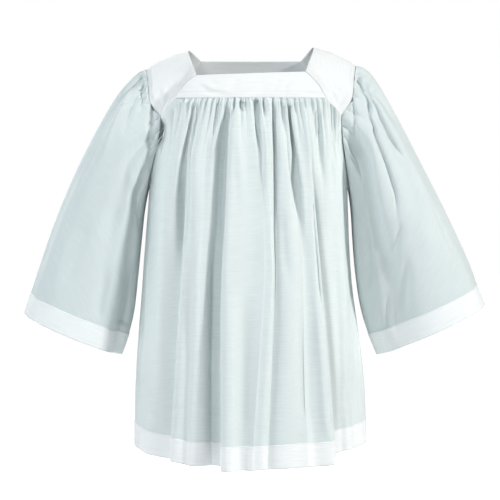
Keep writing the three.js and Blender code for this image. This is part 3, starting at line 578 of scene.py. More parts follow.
class Mesher:
    """Makes Blender objects from grids."""

    @staticmethod
    def quads(rows: int, columns: int, closed: bool, flip: bool) -> Array:
        """Four point numbers for each cell of a grid.

        Args:
            rows: How many rows of points there are.
            columns: How many columns.
            closed: Whether the last column joins the first.
            flip: Whether the faces turn the other way.

        Returns:
            One row of four for each cell.
        """
        number = np.arange(rows * columns).reshape(rows, columns)
        if closed:
            number = np.concatenate([number, number[:, :1]], 1)
        upper, lower = number[:-1], number[1:]
        cells = np.stack([upper[:, :-1], lower[:, :-1], lower[:, 1:], upper[:, 1:]], -1).reshape(-1, 4)
        return cells[:, ::-1] if flip else cells

    @classmethod
    def build(
        cls, name: str, points: Array, faces: Array, uvs: Array, finish: bpy.types.Material
    ) -> bpy.types.Object:
        """A mesh object.

        Args:
            name: The object's name.
            points: The points, in millimetres.
            faces: Four point numbers for each face.
            uvs: Flat coordinates for each corner of each face, in metres.
            finish: The material.

        Returns:
            The object, linked to the scene.
        """
        mesh = bpy.data.meshes.new(name)
        mesh.vertices.add(len(points))
        mesh.vertices.foreach_set("co", (points / METRE).astype(np.float32).ravel())
        mesh.loops.add(faces.size)
        mesh.loops.foreach_set("vertex_index", faces.astype(np.int32).ravel())
        mesh.polygons.add(len(faces))
        mesh.polygons.foreach_set("loop_start", np.arange(0, faces.size, 4, dtype=np.int32))
        mesh.update(calc_edges=True)
        layer = mesh.uv_layers.new(name="cloth")
        layer.data.foreach_set("uv", uvs.astype(np.float32).ravel())
        mesh.shade_smooth()
        mesh.materials.append(finish)
        mesh.validate()
        obj = bpy.data.objects.new(name, mesh)
        bpy.context.scene.collection.objects.link(obj)
        log.info("%s: %d faces", name, len(faces))
        return obj

    @classmethod
    def sheet(cls, name: str, grid: Grid, finish: bpy.types.Material) -> bpy.types.Object:
        """A single layer of cloth.

        Args:
            name: The object's name.
            grid: Its points.
            finish: The material.

        Returns:
            The object.
        """
        rows, columns = grid.points.shape[:2]
        faces = cls.quads(rows, columns, grid.closed, grid.flip)
        flat = grid.flat()
        corner = cls.quads(rows, flat.shape[1], False, grid.flip)
        return cls.build(name, grid.points.reshape(-1, 3), faces, flat.reshape(-1, 2)[corner], finish)

    @classmethod
    def shell(cls, name: str, grid: Grid, thick: float, finish: bpy.types.Material) -> bpy.types.Object:
        """Doubled cloth, with an outer and an inner face that round into each other at the edges.

        Args:
            name: The object's name.
            grid: The points midway between the faces.
            thick: The distance between the faces, in millimetres.
            finish: The material.

        Returns:
            The object.
        """
        outer, inner = grid.moved(thick / 2).points, grid.moved(-thick / 2).points
        flat = grid.flat()
        loop = np.concatenate([outer, inner[::-1], outer[:1]])
        flats = np.concatenate([flat, flat[::-1], flat[:1]])
        rows, columns = loop.shape[0] - 1, loop.shape[1]
        number = np.arange(rows * columns).reshape(rows, columns)
        number = np.concatenate([number, number[:1]])
        if grid.closed:
            number = np.concatenate([number, number[:, :1]], 1)
        order = [(slice(None, -1), slice(None, -1)), (slice(1, None), slice(None, -1)),
                 (slice(1, None), slice(1, None)), (slice(None, -1), slice(1, None))]  # fmt: skip
        faces = np.stack([number[o] for o in order], -1).reshape(-1, 4)
        uvs = np.stack([flats[o] for o in order], -2).reshape(-1, 4, 2)
        if not grid.closed:
            count = outer.shape[0]
            step = np.arange(count - 1)
            opposite = 2 * count - 1 - step
            for column, turned in ((0, False), (columns - 1, True)):
                edge = number[:, column]
                rim = np.stack([edge[step], edge[opposite], edge[opposite - 1], edge[step + 1]], -1)
                rim_flat = flat[step, column]
                faces = np.concatenate([faces, rim if turned else rim[:, ::-1]])
                uvs = np.concatenate([uvs, np.repeat(rim_flat[:, None], 4, 1)])
        if grid.flip:
            faces, uvs = faces[:, ::-1], uvs[:, ::-1]
        return cls.build(name, loop[:-1].reshape(-1, 3), faces, uvs, finish)


def body_point(turn: Array, z: Array, out: Array | float = 0.0) -> Array:
    """Points of the body's plain surface.

    Args:
        turn: The turn from the centre front towards +X.
        z: The height.
        out: How far the point is moved away from the axis.

    Returns:
        Points on a rounded box, with the box's own n at each height: the reach is
        (|sin/half|ⁿ + |cos/deep|ⁿ)^(-1/n).
    """
    half, box, shift = (BODY.read(name, z) for name in ("half", "box", "shift"))
    deep = np.where(np.cos(turn) > 0, BODY.read("front", z), BODY.read("back", z))
    sine, cosine = np.sin(turn), np.cos(turn)
    reach = (np.abs(sine / half) ** box + np.abs(cosine / deep) ** box) ** (-1 / box) + out
    return np.stack([sine * reach + shift, -cosine * reach, z + 0 * reach], -1)


def turn_at(x: Array, z: Array, panel: Face) -> Array:
    """The turn from the middle of a panel at which the body's surface has an x.

    Args:
        x: The place across.
        z: The height.
        panel: The front or the back.

    Returns:
        The angle whose tangent is x over the surface's depth there.
    """
    half, box = BODY.read("half", z), BODY.read("box", z)
    share = np.clip((x - BODY.read("shift", z)) / half, -WIDEST_SHARE, WIDEST_SHARE)
    return np.arctan2(share * half, BODY.read(panel, z) * (1 - np.abs(share) ** box) ** (1 / box))


def panel_point(panel: Face, turn: Array, z: Array, out: Array | float = 0.0) -> Array:
    """Points of the body at a turn from the middle of the front or of the back.

    Args:
        panel: The front or the back.
        turn: The turn towards +X.
        z: The height.
        out: How far the point is moved away from the axis.

    Returns:
        The points.
    """
    return body_point(math.pi - turn if panel is Face.BACK else turn, z, out)


def upper_edge(turn: Array, panel: Face) -> Array:
    """The height of a panel's upper edge: the yoke seam, its slanting end, and then the armhole.

    Args:
        turn: The turn from the panel's middle.
        panel: The front or the back.

    Returns:
        The seam's height, a straight slant, and a fall that goes with a power of a sine.
    """
    seam_z, end_z = SEAM_Z[panel], YOKE_END_Z[panel]
    corner, end = turn_at(YOKE_CORNER_X, seam_z, panel), turn_at(YOKE_END_X, end_z, panel)
    away = np.abs(turn)
    share = np.clip((away - end) / (math.pi / 2 - end), 0, 1)
    slant = lerp(seam_z, end_z, np.clip((away - corner) / (end - corner), 0, 1))
    return np.where(away < end, slant, lerp(end_z, UNDERARM_Z, np.sin(share * math.pi / 2) ** ARMHOLE_CURVE))


def below_chest(chest: Array, waist: Array, hem: Array, z: Array) -> Array:
    """A value given at chest, waist and hem, at any height.

    Args:
        chest: The value at the chest and above.
        waist: The value at the waist.
        hem: The value at the hem and below.
        z: The height.

    Returns:
        Straight lines between the three.
    """
    upper = lerp(chest, waist, np.clip((z - CHEST_Z) / (WAIST_Z - CHEST_Z), 0, 1))
    lower = lerp(waist, hem, np.clip((z - WAIST_Z) / (HEM_SIDE_Z - WAIST_Z), 0, 1))
    return np.where(z > WAIST_Z, upper, lower)


def skewed(share: Array, middle: Array | float) -> Array:
    """A share moved so that a half becomes another value.

    Args:
        share: The share.
        middle: What a half becomes.

    Returns:
        share · m / (1 - m - share (1 - 2 m)).
    """
    return share * middle / (1 - middle - share * (1 - 2 * middle))


@dataclass(frozen=True)
class Gathers:
    """How gathers stand out below their seam, in millimetres."""

    height: float
    onset: Pair
    reach: float = 1.0
    fade: float = 1.2
    power: float = 0.7
    middle: float = 0.5

    def relief(self, number: Array, down: Array, length: Array) -> Array:
        """How far they move the cloth out.

        Args:
            number: The place along the seam, a whole number at each valley.
            down: How far each point lies below the seam.
            length: How far down the gathers run there.

        Returns:
            The height times |sin(pi number)|^power less its middle, which rises over the onset and fades as
            exp(-(down / (reach length))^fade).
        """
        between = np.abs(np.sin(math.pi * number)) ** self.power - self.middle
        fading = np.exp(-((np.maximum(down, 0) / (self.reach * length)) ** self.fade))
        return self.height * between * (smoothstep(down, *self.onset) * fading)


@dataclass
class Panel:
    """The front or the back, gathered on to the yoke, with its turned-up hem."""

    name: Face
    columns: int = 640
    rows: int = 148
    hem_rows: int = 18
    row_spread: float = 1.35
    gathers: Gathers = Gathers(11.0, (-4, 9), reach=0.9, middle=0.55)
    fine_gathers: Gathers = Gathers(3.4, (-4, 3), reach=0.32, fade=1.4, power=0.8)
    lines: dict[str, Array] = field(init=False)
    lobes: dict[str, Array] = field(init=False)

    EDGE_ROUNDS = 8
    ARMHOLE_POINTS = 40
    RELIEF = {Face.FRONT: 1.5, Face.BACK: 0.6}
    FACING = 0.4
    FINE_RATE = 2.3
    FINE_SWAY = 0.4
    SWAY_RATE = 1.7
    GATHER_DEPTHS = (0.45, 1.5)
    BACK_GATHERS = 27
    BACK_SPACING = (8, 15)
    BACK_LENGTHS = (34, 120)
    BACK_SEED = 11
    DEPTH_SEED = 5
    HUMP_POWER = (0.9, 1.5)
    HUMP_REACH = 450

    def __post_init__(self) -> None:
        """Reads the fold lines, with a plain one at each side seam, and the lobes."""
        edge = (0,) * len(LINE_COLUMNS)
        self.lines = dict(zip(LINE_COLUMNS, np.array([edge, *LINES[self.name], edge], float).T))
        self.lobes = dict(zip(LOBE_COLUMNS, np.array(LOBES[self.name], float).T))

    def line_turn(self, index: Array, z: Array) -> Array:
        """The turn of fold lines. The first and the last are the side seams.

        Args:
            index: The lines' numbers.
            z: The height.

        Returns:
            The turn at which the surface has the line's x.
        """
        line = {key: self.lines[key][index] for key in ("seam", "chest", "waist", "hem")}
        upper = np.clip((z - SEAM_Z[self.name]) / (CHEST_Z - SEAM_Z[self.name]), 0, 1)
        lower = below_chest(line["chest"], line["waist"], line["hem"], z)
        x = np.where(z > CHEST_Z, lerp(line["seam"], line["chest"], upper), lower)
        side = math.pi / 2
        turn = np.where(index == 0, -side, turn_at(x, z, self.name))
        return np.where(index == len(self.lines["seam"]) - 1, side, turn)

    def turn(self, lobe: Array, share: Array, z: Array) -> Array:
        """The turn of a place in a lobe.

        Args:
            lobe: The lobe's number.
            share: The share of its width.
            z: The height.

        Returns:
            A turn between those of the lines beside it.
        """
        return lerp(self.line_turn(lobe, z), self.line_turn(lobe + 1, z), share)

    def places(self) -> tuple[Array, Array]:
        """The lobe and the share of its width for each column, evenly spaced along the hem.

        Returns:
            Numbers of lobes, and shares.
        """
        ends = self.line_turn(np.arange(len(self.lines["seam"])), np.full(len(self.lines["seam"]), WAIST_Z))
        turn = np.linspace(ends[0], ends[-1], self.columns)
        lobe = np.clip(np.searchsorted(ends, turn, side="right") - 1, 0, len(ends) - 2)
        return lobe, (turn - ends[lobe]) / (ends[lobe + 1] - ends[lobe])

    def edges(self, lobe: Array, share: Array) -> tuple[Array, Array]:
        """The heights of the upper and the lower end of each column.

        Args:
            lobe: The columns' lobes.
            share: Their shares of the lobes' widths.

        Returns:
            The upper edge, found in rounds, and the hem, which rises to the sides with a power of a sine.
        """
        top = np.full(lobe.shape, SEAM_Z[self.name])
        for _ in range(self.EDGE_ROUNDS):
            top = upper_edge(self.turn(lobe, share, top), self.name)
        side = np.sin(self.turn(lobe, share, np.full(lobe.shape, HEM_Z[self.name])))
        drawn = self.lobes["rise"][lobe] * np.sin(math.pi * share)
        bottom = lerp(HEM_Z[self.name], HEM_SIDE_Z, np.abs(side) ** HEM_CURVE) + HEM_TILT * side + drawn
        return top, bottom

    def lap(self, lobe: Array, share: Array, z: Array) -> Array:
        """How far the cloth of a lobe is pushed over the fold lines beside it.

        Args:
            lobe: The lobe.
            share: The share of its width.
            z: The height.

        Returns:
            A push that goes with s exp(1 - s) near each line.
        """

        def push(s: Array) -> Array:
            """The push at a share from a line."""
            return s / LAP_REACH * np.exp(1 - s / LAP_REACH)

        def of(index: Array) -> Array:
            """How far the cloth laps over lines."""
            return below_chest(*(self.lines[f"lap{k}"][index] for k in range(3)), z)

        return -np.maximum(of(lobe), 0) * push(share) - np.minimum(of(lobe + 1), 0) * push(1 - share)

    def gather(self, lobe: Array, share: Array, down: Array) -> Array:
        """The gathers below the seam, and finer ones close to it.

        Args:
            lobe: The columns' lobes.
            share: Their shares.
            down: How far each point lies below the seam.

        Returns:
            The gathers between the valleys, of uneven depth, and the finer ones at an uneven multiple of the
            valleys' number. Both fade with the valleys' own lengths, and towards the ends of the seam.
        """
        seam = np.full(lobe.shape, SEAM_Z[self.name])
        place = panel_point(self.name, self.turn(lobe, share, seam), seam)
        if self.name is Face.FRONT:
            across, _ = VIEW.seen(place)
            valleys, lengths = np.array(FRONT_GATHERS).T
        else:
            across = place[:, 0]
            draw = np.random.default_rng(self.BACK_SEED)
            valleys = np.cumsum(draw.uniform(*self.BACK_SPACING, self.BACK_GATHERS))
            valleys -= valleys.mean()
            lengths = draw.uniform(*self.BACK_LENGTHS, self.BACK_GATHERS)
        count = np.arange(len(valleys))
        depths = np.random.default_rng(self.DEPTH_SEED).uniform(*self.GATHER_DEPTHS, len(valleys))
        number = np.interp(across, valleys, count, left=0, right=count[-1])
        length, depth = np.interp(number, count, lengths), np.interp(number, count, depths)
        inside = smoothstep(across, valleys[0], valleys[2]) * smoothstep(-across, -valleys[-1], -valleys[-3])
        finer = self.FINE_RATE * number + self.FINE_SWAY * np.sin(self.SWAY_RATE * number)
        coarse = self.gathers.relief(number, down, length) * depth
        return (coarse + self.fine_gathers.relief(finer, down, length)) * inside

    def surface(self, lobe: Array, share: Array, z: Array, top: Array) -> Array:
        """Points of the panel with its folds and gathers.

        Args:
            lobe: The columns' lobes.
            share: Their shares of the lobes' widths.
            z: The heights, a row of them for each row of points.
            top: The height of each column's upper end.

        Returns:
            The body's points, moved out by humps that go with a power of a sine between the fold lines.
        """
        down = top - z
        left, right = (
            below_chest(*(self.lines[f"deep{k}"][lobe + step] for k in range(3)), z) for step in (0, 1)
        )
        level = lerp(left, right, share)
        wave = np.maximum(np.sin(math.pi * skewed(share, 1 - self.lobes["lean"][lobe])), 0)
        hump = wave ** lerp(*self.HUMP_POWER, np.clip(down / self.HUMP_REACH, 0, 1))
        crest = below_chest(*(self.lobes[f"crest{k}"][lobe] for k in range(3)), z)
        fold = (level + (crest - level) * hump) * smoothstep(down, 0, FOLD_ONSET)
        turn = self.turn(lobe, share, z)
        aside = self.lap(lobe, share, z) * smoothstep(down, LAP_START, LAP_ONSET)
        turn = turn + aside / np.linalg.norm(body_point(turn, z), axis=-1)
        return panel_point(self.name, turn, z, fold + self.gather(lobe, share, down))

    def grid(self, heights: Array, top: Array, lobe: Array, share: Array) -> Grid:
        """The panel at given heights, with its creases.

        Args:
            heights: The height of each point.
            top: The height of each column's upper end.
            lobe: The columns' lobes.
            share: Their shares of the lobes' widths.

        Returns:
            The grid of points. The back has the front's creases, turned round and lower.
        """
        front = self.name is Face.FRONT
        made = Grid(self.surface(lobe, share, heights, top), flip=not front)
        facing = smoothstep(made.normals()[..., 1] * (-1 if front else 1), 0.0, self.FACING)
        across, down = VIEW.seen(made.points if front else made.points * TURNED)
        return made.moved(relief(FRONT_CREASES, across, down) * facing * self.RELIEF[self.name])

    def cloth(self) -> Grid:
        """The panel from the yoke seam and the armholes to inside the hem.

        Returns:
            The grid, whose rows are closer together near the seam.
        """
        lobe, share = self.places()
        top, bottom = self.edges(lobe, share)
        rows = np.linspace(0, 1, self.rows)[:, None] ** self.row_spread
        low = bottom + HEM_DEPTH - HEM_TUCK
        return self.grid(lerp(top + SEAM_TUCK, low, rows), top, lobe, share)

    def hem(self) -> Grid:
        """The turned-up hem, a band of doubled cloth.

        Returns:
            The grid, from the hem's stitching to the fold.
        """
        lobe, share = self.places()
        top, bottom = self.edges(lobe, share)
        rows = np.linspace(0, 1, self.hem_rows)[:, None]
        return self.grid(lerp(bottom + HEM_DEPTH, bottom + 1.0, rows), top, lobe, share)

    def armhole(self, side: int) -> Array:
        """The edge that lies in an armhole, from the yoke's end to the side seam.

        Args:
            side: +1 for the wearer's left.

        Returns:
            Its points.
        """
        share = np.linspace(0, 1, self.ARMHOLE_POINTS)
        lobe = np.full(share.shape, len(self.lobes["lean"]) - 1 if side > 0 else 0)
        top, _ = self.edges(lobe, share)
        return self.surface(lobe, share, top[None], top)[0]


def through(points: Array, t: Array) -> Array:
    """A smooth curve through points.

    Args:
        points: The points, evenly spaced in the parameter.
        t: The parameter, from 0 at the first point to 1 at the last.

    Returns:
        Points on cubics whose slope at each point is that of the chord between its neighbours.
    """
    table = Table("t x y z", tuple((k / (len(points) - 1), *p) for k, p in enumerate(points)))
    return np.stack([table.read(name, t) for name in "xyz"], -1)


@dataclass(frozen=True)
class Corners:
    """The corners of the neckline and of the yoke's lower edge, on one side of the body."""

    side: int

    def neck(self, name: str) -> Array:
        """A corner of the neckline: "front", "top" or "back"."""
        x, y, z = NECK[name]
        return np.array([self.side * x, y, z + (0 if name == "back" else self.side * NECK_TILT)])

    def seam(self, panel: Face) -> Array:
        """The mitre's lower end on a panel's seam."""
        z = SEAM_Z[panel]
        return panel_point(panel, turn_at(self.side * YOKE_CORNER_X, z, panel), np.array(z))

    def end(self, panel: Face) -> Array:
        """The yoke's end at the armhole."""
        z = YOKE_END_Z[panel]
        return panel_point(panel, turn_at(self.side * YOKE_END_X, z, panel), np.array(z))

    def shoulder(self, t: Array) -> Array:
        """The armhole's edge over the shoulder, from front to back, at shares t of its length."""
        over = [np.array([self.side * x, y, z + self.side * NECK_TILT]) for x, y, z in SHOULDER]
        return through(np.array([self.end(Face.FRONT), *over, self.end(Face.BACK)]), t)


@dataclass(frozen=True)
class Yoke:
    """The four doubled pieces of the square yoke, which meet at mitres.

    The neckline's edge has a raised band, with the groove of its stitching along it.
    """

    rows: int = 44
    columns: int = 130
    slanted: float = 0.15
    band_height: float = 1.1
    band_ends: Pair = (9.0, 11.5)
    groove_depth: float = 0.8
    groove_at: float = 11.0
    groove_width: float = 1.6

    def straight(self, panel: Face) -> tuple[Array, Array]:
        """The inner and outer edge of the front or the back piece, from the wearer's right.

        Args:
            panel: The front or the back.

        Returns:
            Points of the neckline, which bows by 4 b t (1 - t), and of the seam, on the body.
        """
        right, left = Corners(-1), Corners(1)
        t = np.linspace(0, 1, self.columns)
        inner = lerp(right.neck(panel), left.neck(panel), t[:, None])
        inner[:, 1] += NECK_BOW[panel] * 4 * t * (1 - t)
        turns = [math.atan2(c.seam(panel)[0], abs(c.seam(panel)[1])) for c in (right, left)]
        outer = panel_point(panel, lerp(turns[0], turns[1], t), np.full(t.shape, SEAM_Z[panel]))
        return inner, outer

    def over(self, side: int) -> tuple[Array, Array]:
        """The inner and outer edge of a shoulder piece, from the front mitre to the back mitre.

        Args:
            side: +1 for the wearer's left.

        Returns:
            Points of the neckline, and of the slanting ends and the armhole.
        """
        corners = Corners(side)
        t = np.linspace(0, 1, self.columns)
        inner = through(np.array([corners.neck(name) for name in ("front", "top", "back")]), t)
        outer = corners.shoulder(np.clip((t - self.slanted) / (1 - 2 * self.slanted), 0, 1))
        for panel, share in ((Face.FRONT, t / self.slanted), (Face.BACK, (1 - t) / self.slanted)):
            slant = lerp(corners.seam(panel), corners.end(panel), np.clip(share, 0, 1)[:, None])
            turn = np.arctan2(slant[:, 0], np.abs(slant[:, 1]))
            outer = np.where((share < 1)[:, None], panel_point(panel, turn, slant[:, 2]), outer)
        return inner, outer

    def grid(self, edges: tuple[Array, Array], flip: bool, creases: tuple[Crease, ...] = ()) -> Grid:
        """A piece between its two edges, with its band, its groove and its creases.

        Args:
            edges: The inner and the outer edge.
            flip: Whether the faces turn the other way.
            creases: Creases seen from the camera.

        Returns:
            The grid: a straight blend of the edges that bulges by 4 b s (1 - s), with a step for the band
            and a trough exp(-d²) for the groove.
        """
        inner, outer = edges
        share = np.linspace(0, 1, self.rows)[:, None]
        down = outer - inner
        level = np.stack([-down[:, 1], down[:, 0], np.zeros(len(down))], -1)
        out = unit(np.cross(level, down))
        out *= np.where(out[:, 2:] < 0, -1, 1)
        points = inner + down * share[..., None] + out * (YOKE_BULGE * 4 * share * (1 - share))[..., None]
        made = Grid(points, flip=flip, from_below=True)
        up = np.linalg.norm(down, axis=-1) * (1 - share)
        near, far = self.band_ends
        groove = np.exp(-(((up - self.groove_at) / self.groove_width) ** 2))
        band = self.band_height * smoothstep(-up, -far, -near) - self.groove_depth * groove
        return made.moved(band + relief(creases, *VIEW.seen(points)))


YOKE_CREASES = {
    "front": (
        Crease(((215, 80), (216, 92)), 5.0, -1.1, Form.SOFT, (0.3, 0.1)),
        Crease(((262, 79), (264, 92)), 6.0, -1.1, Form.SOFT, (0.3, 0.1)),
        Crease(((298, 78), (300, 90)), 5.0, -0.6, Form.SOFT, (0.3, 0.1)),
        Crease(((196, 82), (214, 91), (236, 95)), 2.6, 1.6, Form.LAPPED, (0.3, 0.4)),
        Crease(((240, 78), (232, 86), (228, 94)), 3.4, -1.5, Form.SOFT, (0.3, 0.3)),
        Crease(((282, 77), (276, 85), (271, 93)), 3.0, -1.4, Form.SOFT, (0.3, 0.3)),
        Crease(((302, 76), (290, 84), (284, 93)), 3.0, 1.4, Form.LAPPED, (0.3, 0.3)),
    ),
    "left": (
        Crease(((316.5, 78), (323, 87), (331, 97)), 2.4, -1.8, Form.SHARP, (0.2, 0.2)),
        Crease(((324.7, 80), (331, 88), (336, 94), (340, 106)), 2.6, -1.6, Form.SOFT, (0.2, 0.3)),
    ),
    "right": (
        Crease(((181, 82), (176, 91), (172, 101)), 2.6, -1.8, Form.SHARP, (0.2, 0.2)),
        Crease(((165.6, 87), (163.5, 100), (163, 112)), 2.8, -1.8, Form.SOFT, (0.2, 0.3)),
    ),
}


@dataclass
class Sleeve:
    """A bell sleeve, gathered into the armhole, with its turned-up cuff."""

    side: int
    panels: list[Panel]
    columns: int = 420
    rows: int = 120
    cuff_rows: int = 16
    row_spread: float = 1.3
    gathers: Gathers = Gathers(7.0, (-4, 10))

    HEAD_POINTS = 61
    RELIEF = 1.4
    FACING = 0.35
    FOLD_MIDDLE = 0.4
    FOLD_START = 0.1
    FOLD_WIDENING = (0.8, 1.25)
    VALLEYS = 24
    VALLEY_SPACING = (0.6, 1.4)
    VALLEY_LENGTHS = (30, 110)
    GATHERED_ABOVE = (-0.7, 0.0)
    VALLEY_SEED = 7
    UNDERARM_CLEAR = 2.0
    UNDERARM_ONSET = (0.35, 0.95)
    HEAD_SPREAD = np.array([1.0, 1.6, 0.0])
    ARMHOLE_GAP = 0.6
    CUFF_TUCK = 0.006
    CUFF_END = 0.999

    def __post_init__(self) -> None:
        """Finds the armhole's edge, from the yoke and both panels, by the turn round the arm."""
        edge = Corners(self.side).shoulder(np.linspace(0, 1, self.HEAD_POINTS))
        loop = np.concatenate([edge, *(panel.armhole(self.side) for panel in self.panels)])
        middle = (UNDERARM_Z + SHOULDER[2][2]) / 2
        turn = np.arctan2(-loop[:, 1], loop[:, 2] - middle) % FULL_TURN
        order = np.argsort(turn)
        self.head_turn, self.head = turn[order], loop[order]

    def ring(self, turn: Array, share: Array) -> Array:
        """The plain rings.

        Args:
            turn: The turn round the arm: 0 at the outer edge, a quarter at the front.
            share: The share of the length.

        Returns:
            Flattened rings between the inner and the outer edge.
        """
        at = {name: SLEEVE.read(name, share) for name in SLEEVE.names.split()[1:]}
        inner_x = body_point(np.full(share.shape, self.side * math.pi / 2), at["innerZ"])[..., 0]
        inner_x = inner_x + self.side * at["clear"]
        outer_x = self.side * at["outerX"] + at["skew"]
        outer_z = at["outerZ"] + self.side * lerp(NECK_TILT, CUFF_TILT, share)
        across = (1 + np.cos(turn)) / 2
        boxed = np.sign(np.sin(turn)) * np.abs(np.sin(turn)) ** lerp(INNER_BOX, 1, across)
        y = -boxed * at["deep"] * (1 + at["egg"] * np.cos(turn))
        return np.stack([lerp(inner_x, outer_x, across), y, lerp(at["innerZ"], outer_z, across)], -1)

    def folds(self, turn: Array, share: Array) -> Array:
        """The lengthwise folds.

        Args:
            turn: The turn round the arm.
            share: The share of the length.

        Returns:
            A sum of troughs that go with exp(-d²).
        """
        total = np.zeros(np.broadcast(turn, share).shape)
        for head, cuff, wide, high0, high1, high2 in SLEEVE_LINES[self.side]:
            apart = np.abs(turn - np.radians(lerp(head, cuff, share))) % FULL_TURN
            away = np.minimum(apart, FULL_TURN - apart) / np.radians(wide * lerp(*self.FOLD_WIDENING, share))
            upper = lerp(high0, high1, np.clip(share / self.FOLD_MIDDLE, 0, 1))
            lower = np.clip((share - self.FOLD_MIDDLE) / (1 - self.FOLD_MIDDLE), 0, 1)
            height = lerp(upper, high2, lower)
            total = total + height * smoothstep(share, 0, self.FOLD_START) * np.exp(-(away**2))
        return total

    def gather(self, turn: Array, share: Array) -> Array:
        """The gathers at the sleeve's head.

        Args:
            turn: The turn round the arm.
            share: The share of the length.

        Returns:
            The gathers between uneven valleys, which fade down the arm and under it.
        """
        draw = np.random.default_rng(self.VALLEY_SEED + self.side)
        steps = draw.uniform(*self.VALLEY_SPACING, self.VALLEYS)
        valleys = np.concatenate([[0.0], np.cumsum(steps)]) / steps.sum() * FULL_TURN
        count = np.arange(self.VALLEYS + 1)
        number = np.interp(turn, valleys, count)
        length = np.interp(number, count, draw.uniform(*self.VALLEY_LENGTHS, self.VALLEYS + 1))
        above = smoothstep(np.cos(turn), *self.GATHERED_ABOVE)
        return self.gathers.relief(number, share * SLEEVE_OUTER_LENGTH, length) * above

    def surface(self, turn: Array, share: Array) -> Array:
        """Points of the sleeve.

        Args:
            turn: The turn round the arm.
            share: The share of the length.

        Returns:
            The armhole's edge, carried on along the rings and then taken over by them, with folds and
            gathers.
        """
        edge = [np.interp(turn, self.head_turn, self.head[:, k], period=FULL_TURN) for k in range(3)]
        start = np.stack(edge, -1)
        low = (1 - np.cos(turn)) / 2
        away = unit(start * self.HEAD_SPREAD)
        start = start + away * (self.UNDERARM_CLEAR * smoothstep(low, *self.UNDERARM_ONSET))[..., None]
        start[..., 0] += self.side * self.ARMHOLE_GAP
        ring = self.ring(turn, share)
        carried = start + ring - self.ring(turn, np.zeros(share.shape))
        plain = lerp(carried, ring, smoothstep(share, 0, HEAD_SHARE)[..., None])
        outer = self.ring(np.zeros(share.shape), share)
        inner = self.ring(np.full(share.shape, math.pi), share)
        out = unit(plain - (outer + inner) / 2)
        return plain + out * (self.folds(turn, share) + self.gather(turn, share))[..., None]

    def seam_share(self, turn: Array) -> Array:
        """The share of the length at which the cuff begins, for an even band all round."""
        return 1 - CUFF_DEPTH / lerp(SLEEVE_INNER_LENGTH, SLEEVE_OUTER_LENGTH, (1 + np.cos(turn)) / 2)

    def grid(self, turn: Array, share: Array) -> Grid:
        """The sleeve at given shares of its length, with its creases.

        Args:
            turn: The turn of each column.
            share: The shares, a row of them for each row of points.

        Returns:
            The grid. The hidden half has the other sleeve's creases, mirrored.
        """
        turn = np.broadcast_to(turn, share.shape)
        made = Grid(self.surface(turn, share), closed=True, flip=self.side > 0)
        facing = -made.normals()[..., 1]
        shown = relief(SLEEVE_CREASES[self.side], *VIEW.seen(made.points))
        shown = shown * smoothstep(facing, 0.0, self.FACING) * self.RELIEF
        hidden = relief(SLEEVE_CREASES[-self.side], *VIEW.seen(made.points * TURNED))
        return made.moved(shown + hidden * smoothstep(-facing, 0.0, self.FACING))

    def cloth(self) -> Grid:
        """The sleeve from the armhole to inside the cuff.

        Returns:
            The grid, whose rows are closer together near the armhole.
        """
        turn = np.arange(self.columns) / self.columns * FULL_TURN
        rows = np.linspace(0, 1, self.rows)[:, None] ** self.row_spread
        return self.grid(turn, rows * (self.seam_share(turn) + self.CUFF_TUCK))

    def cuff(self) -> Grid:
        """The turned-up band at the wrist.

        Returns:
            The grid, from the cuff's stitching to the fold.
        """
        turn = np.arange(self.columns) / self.columns * FULL_TURN
        rows = np.linspace(0, 1, self.cuff_rows)[:, None]
        return self.grid(turn, lerp(self.seam_share(turn), self.CUFF_END, rows))


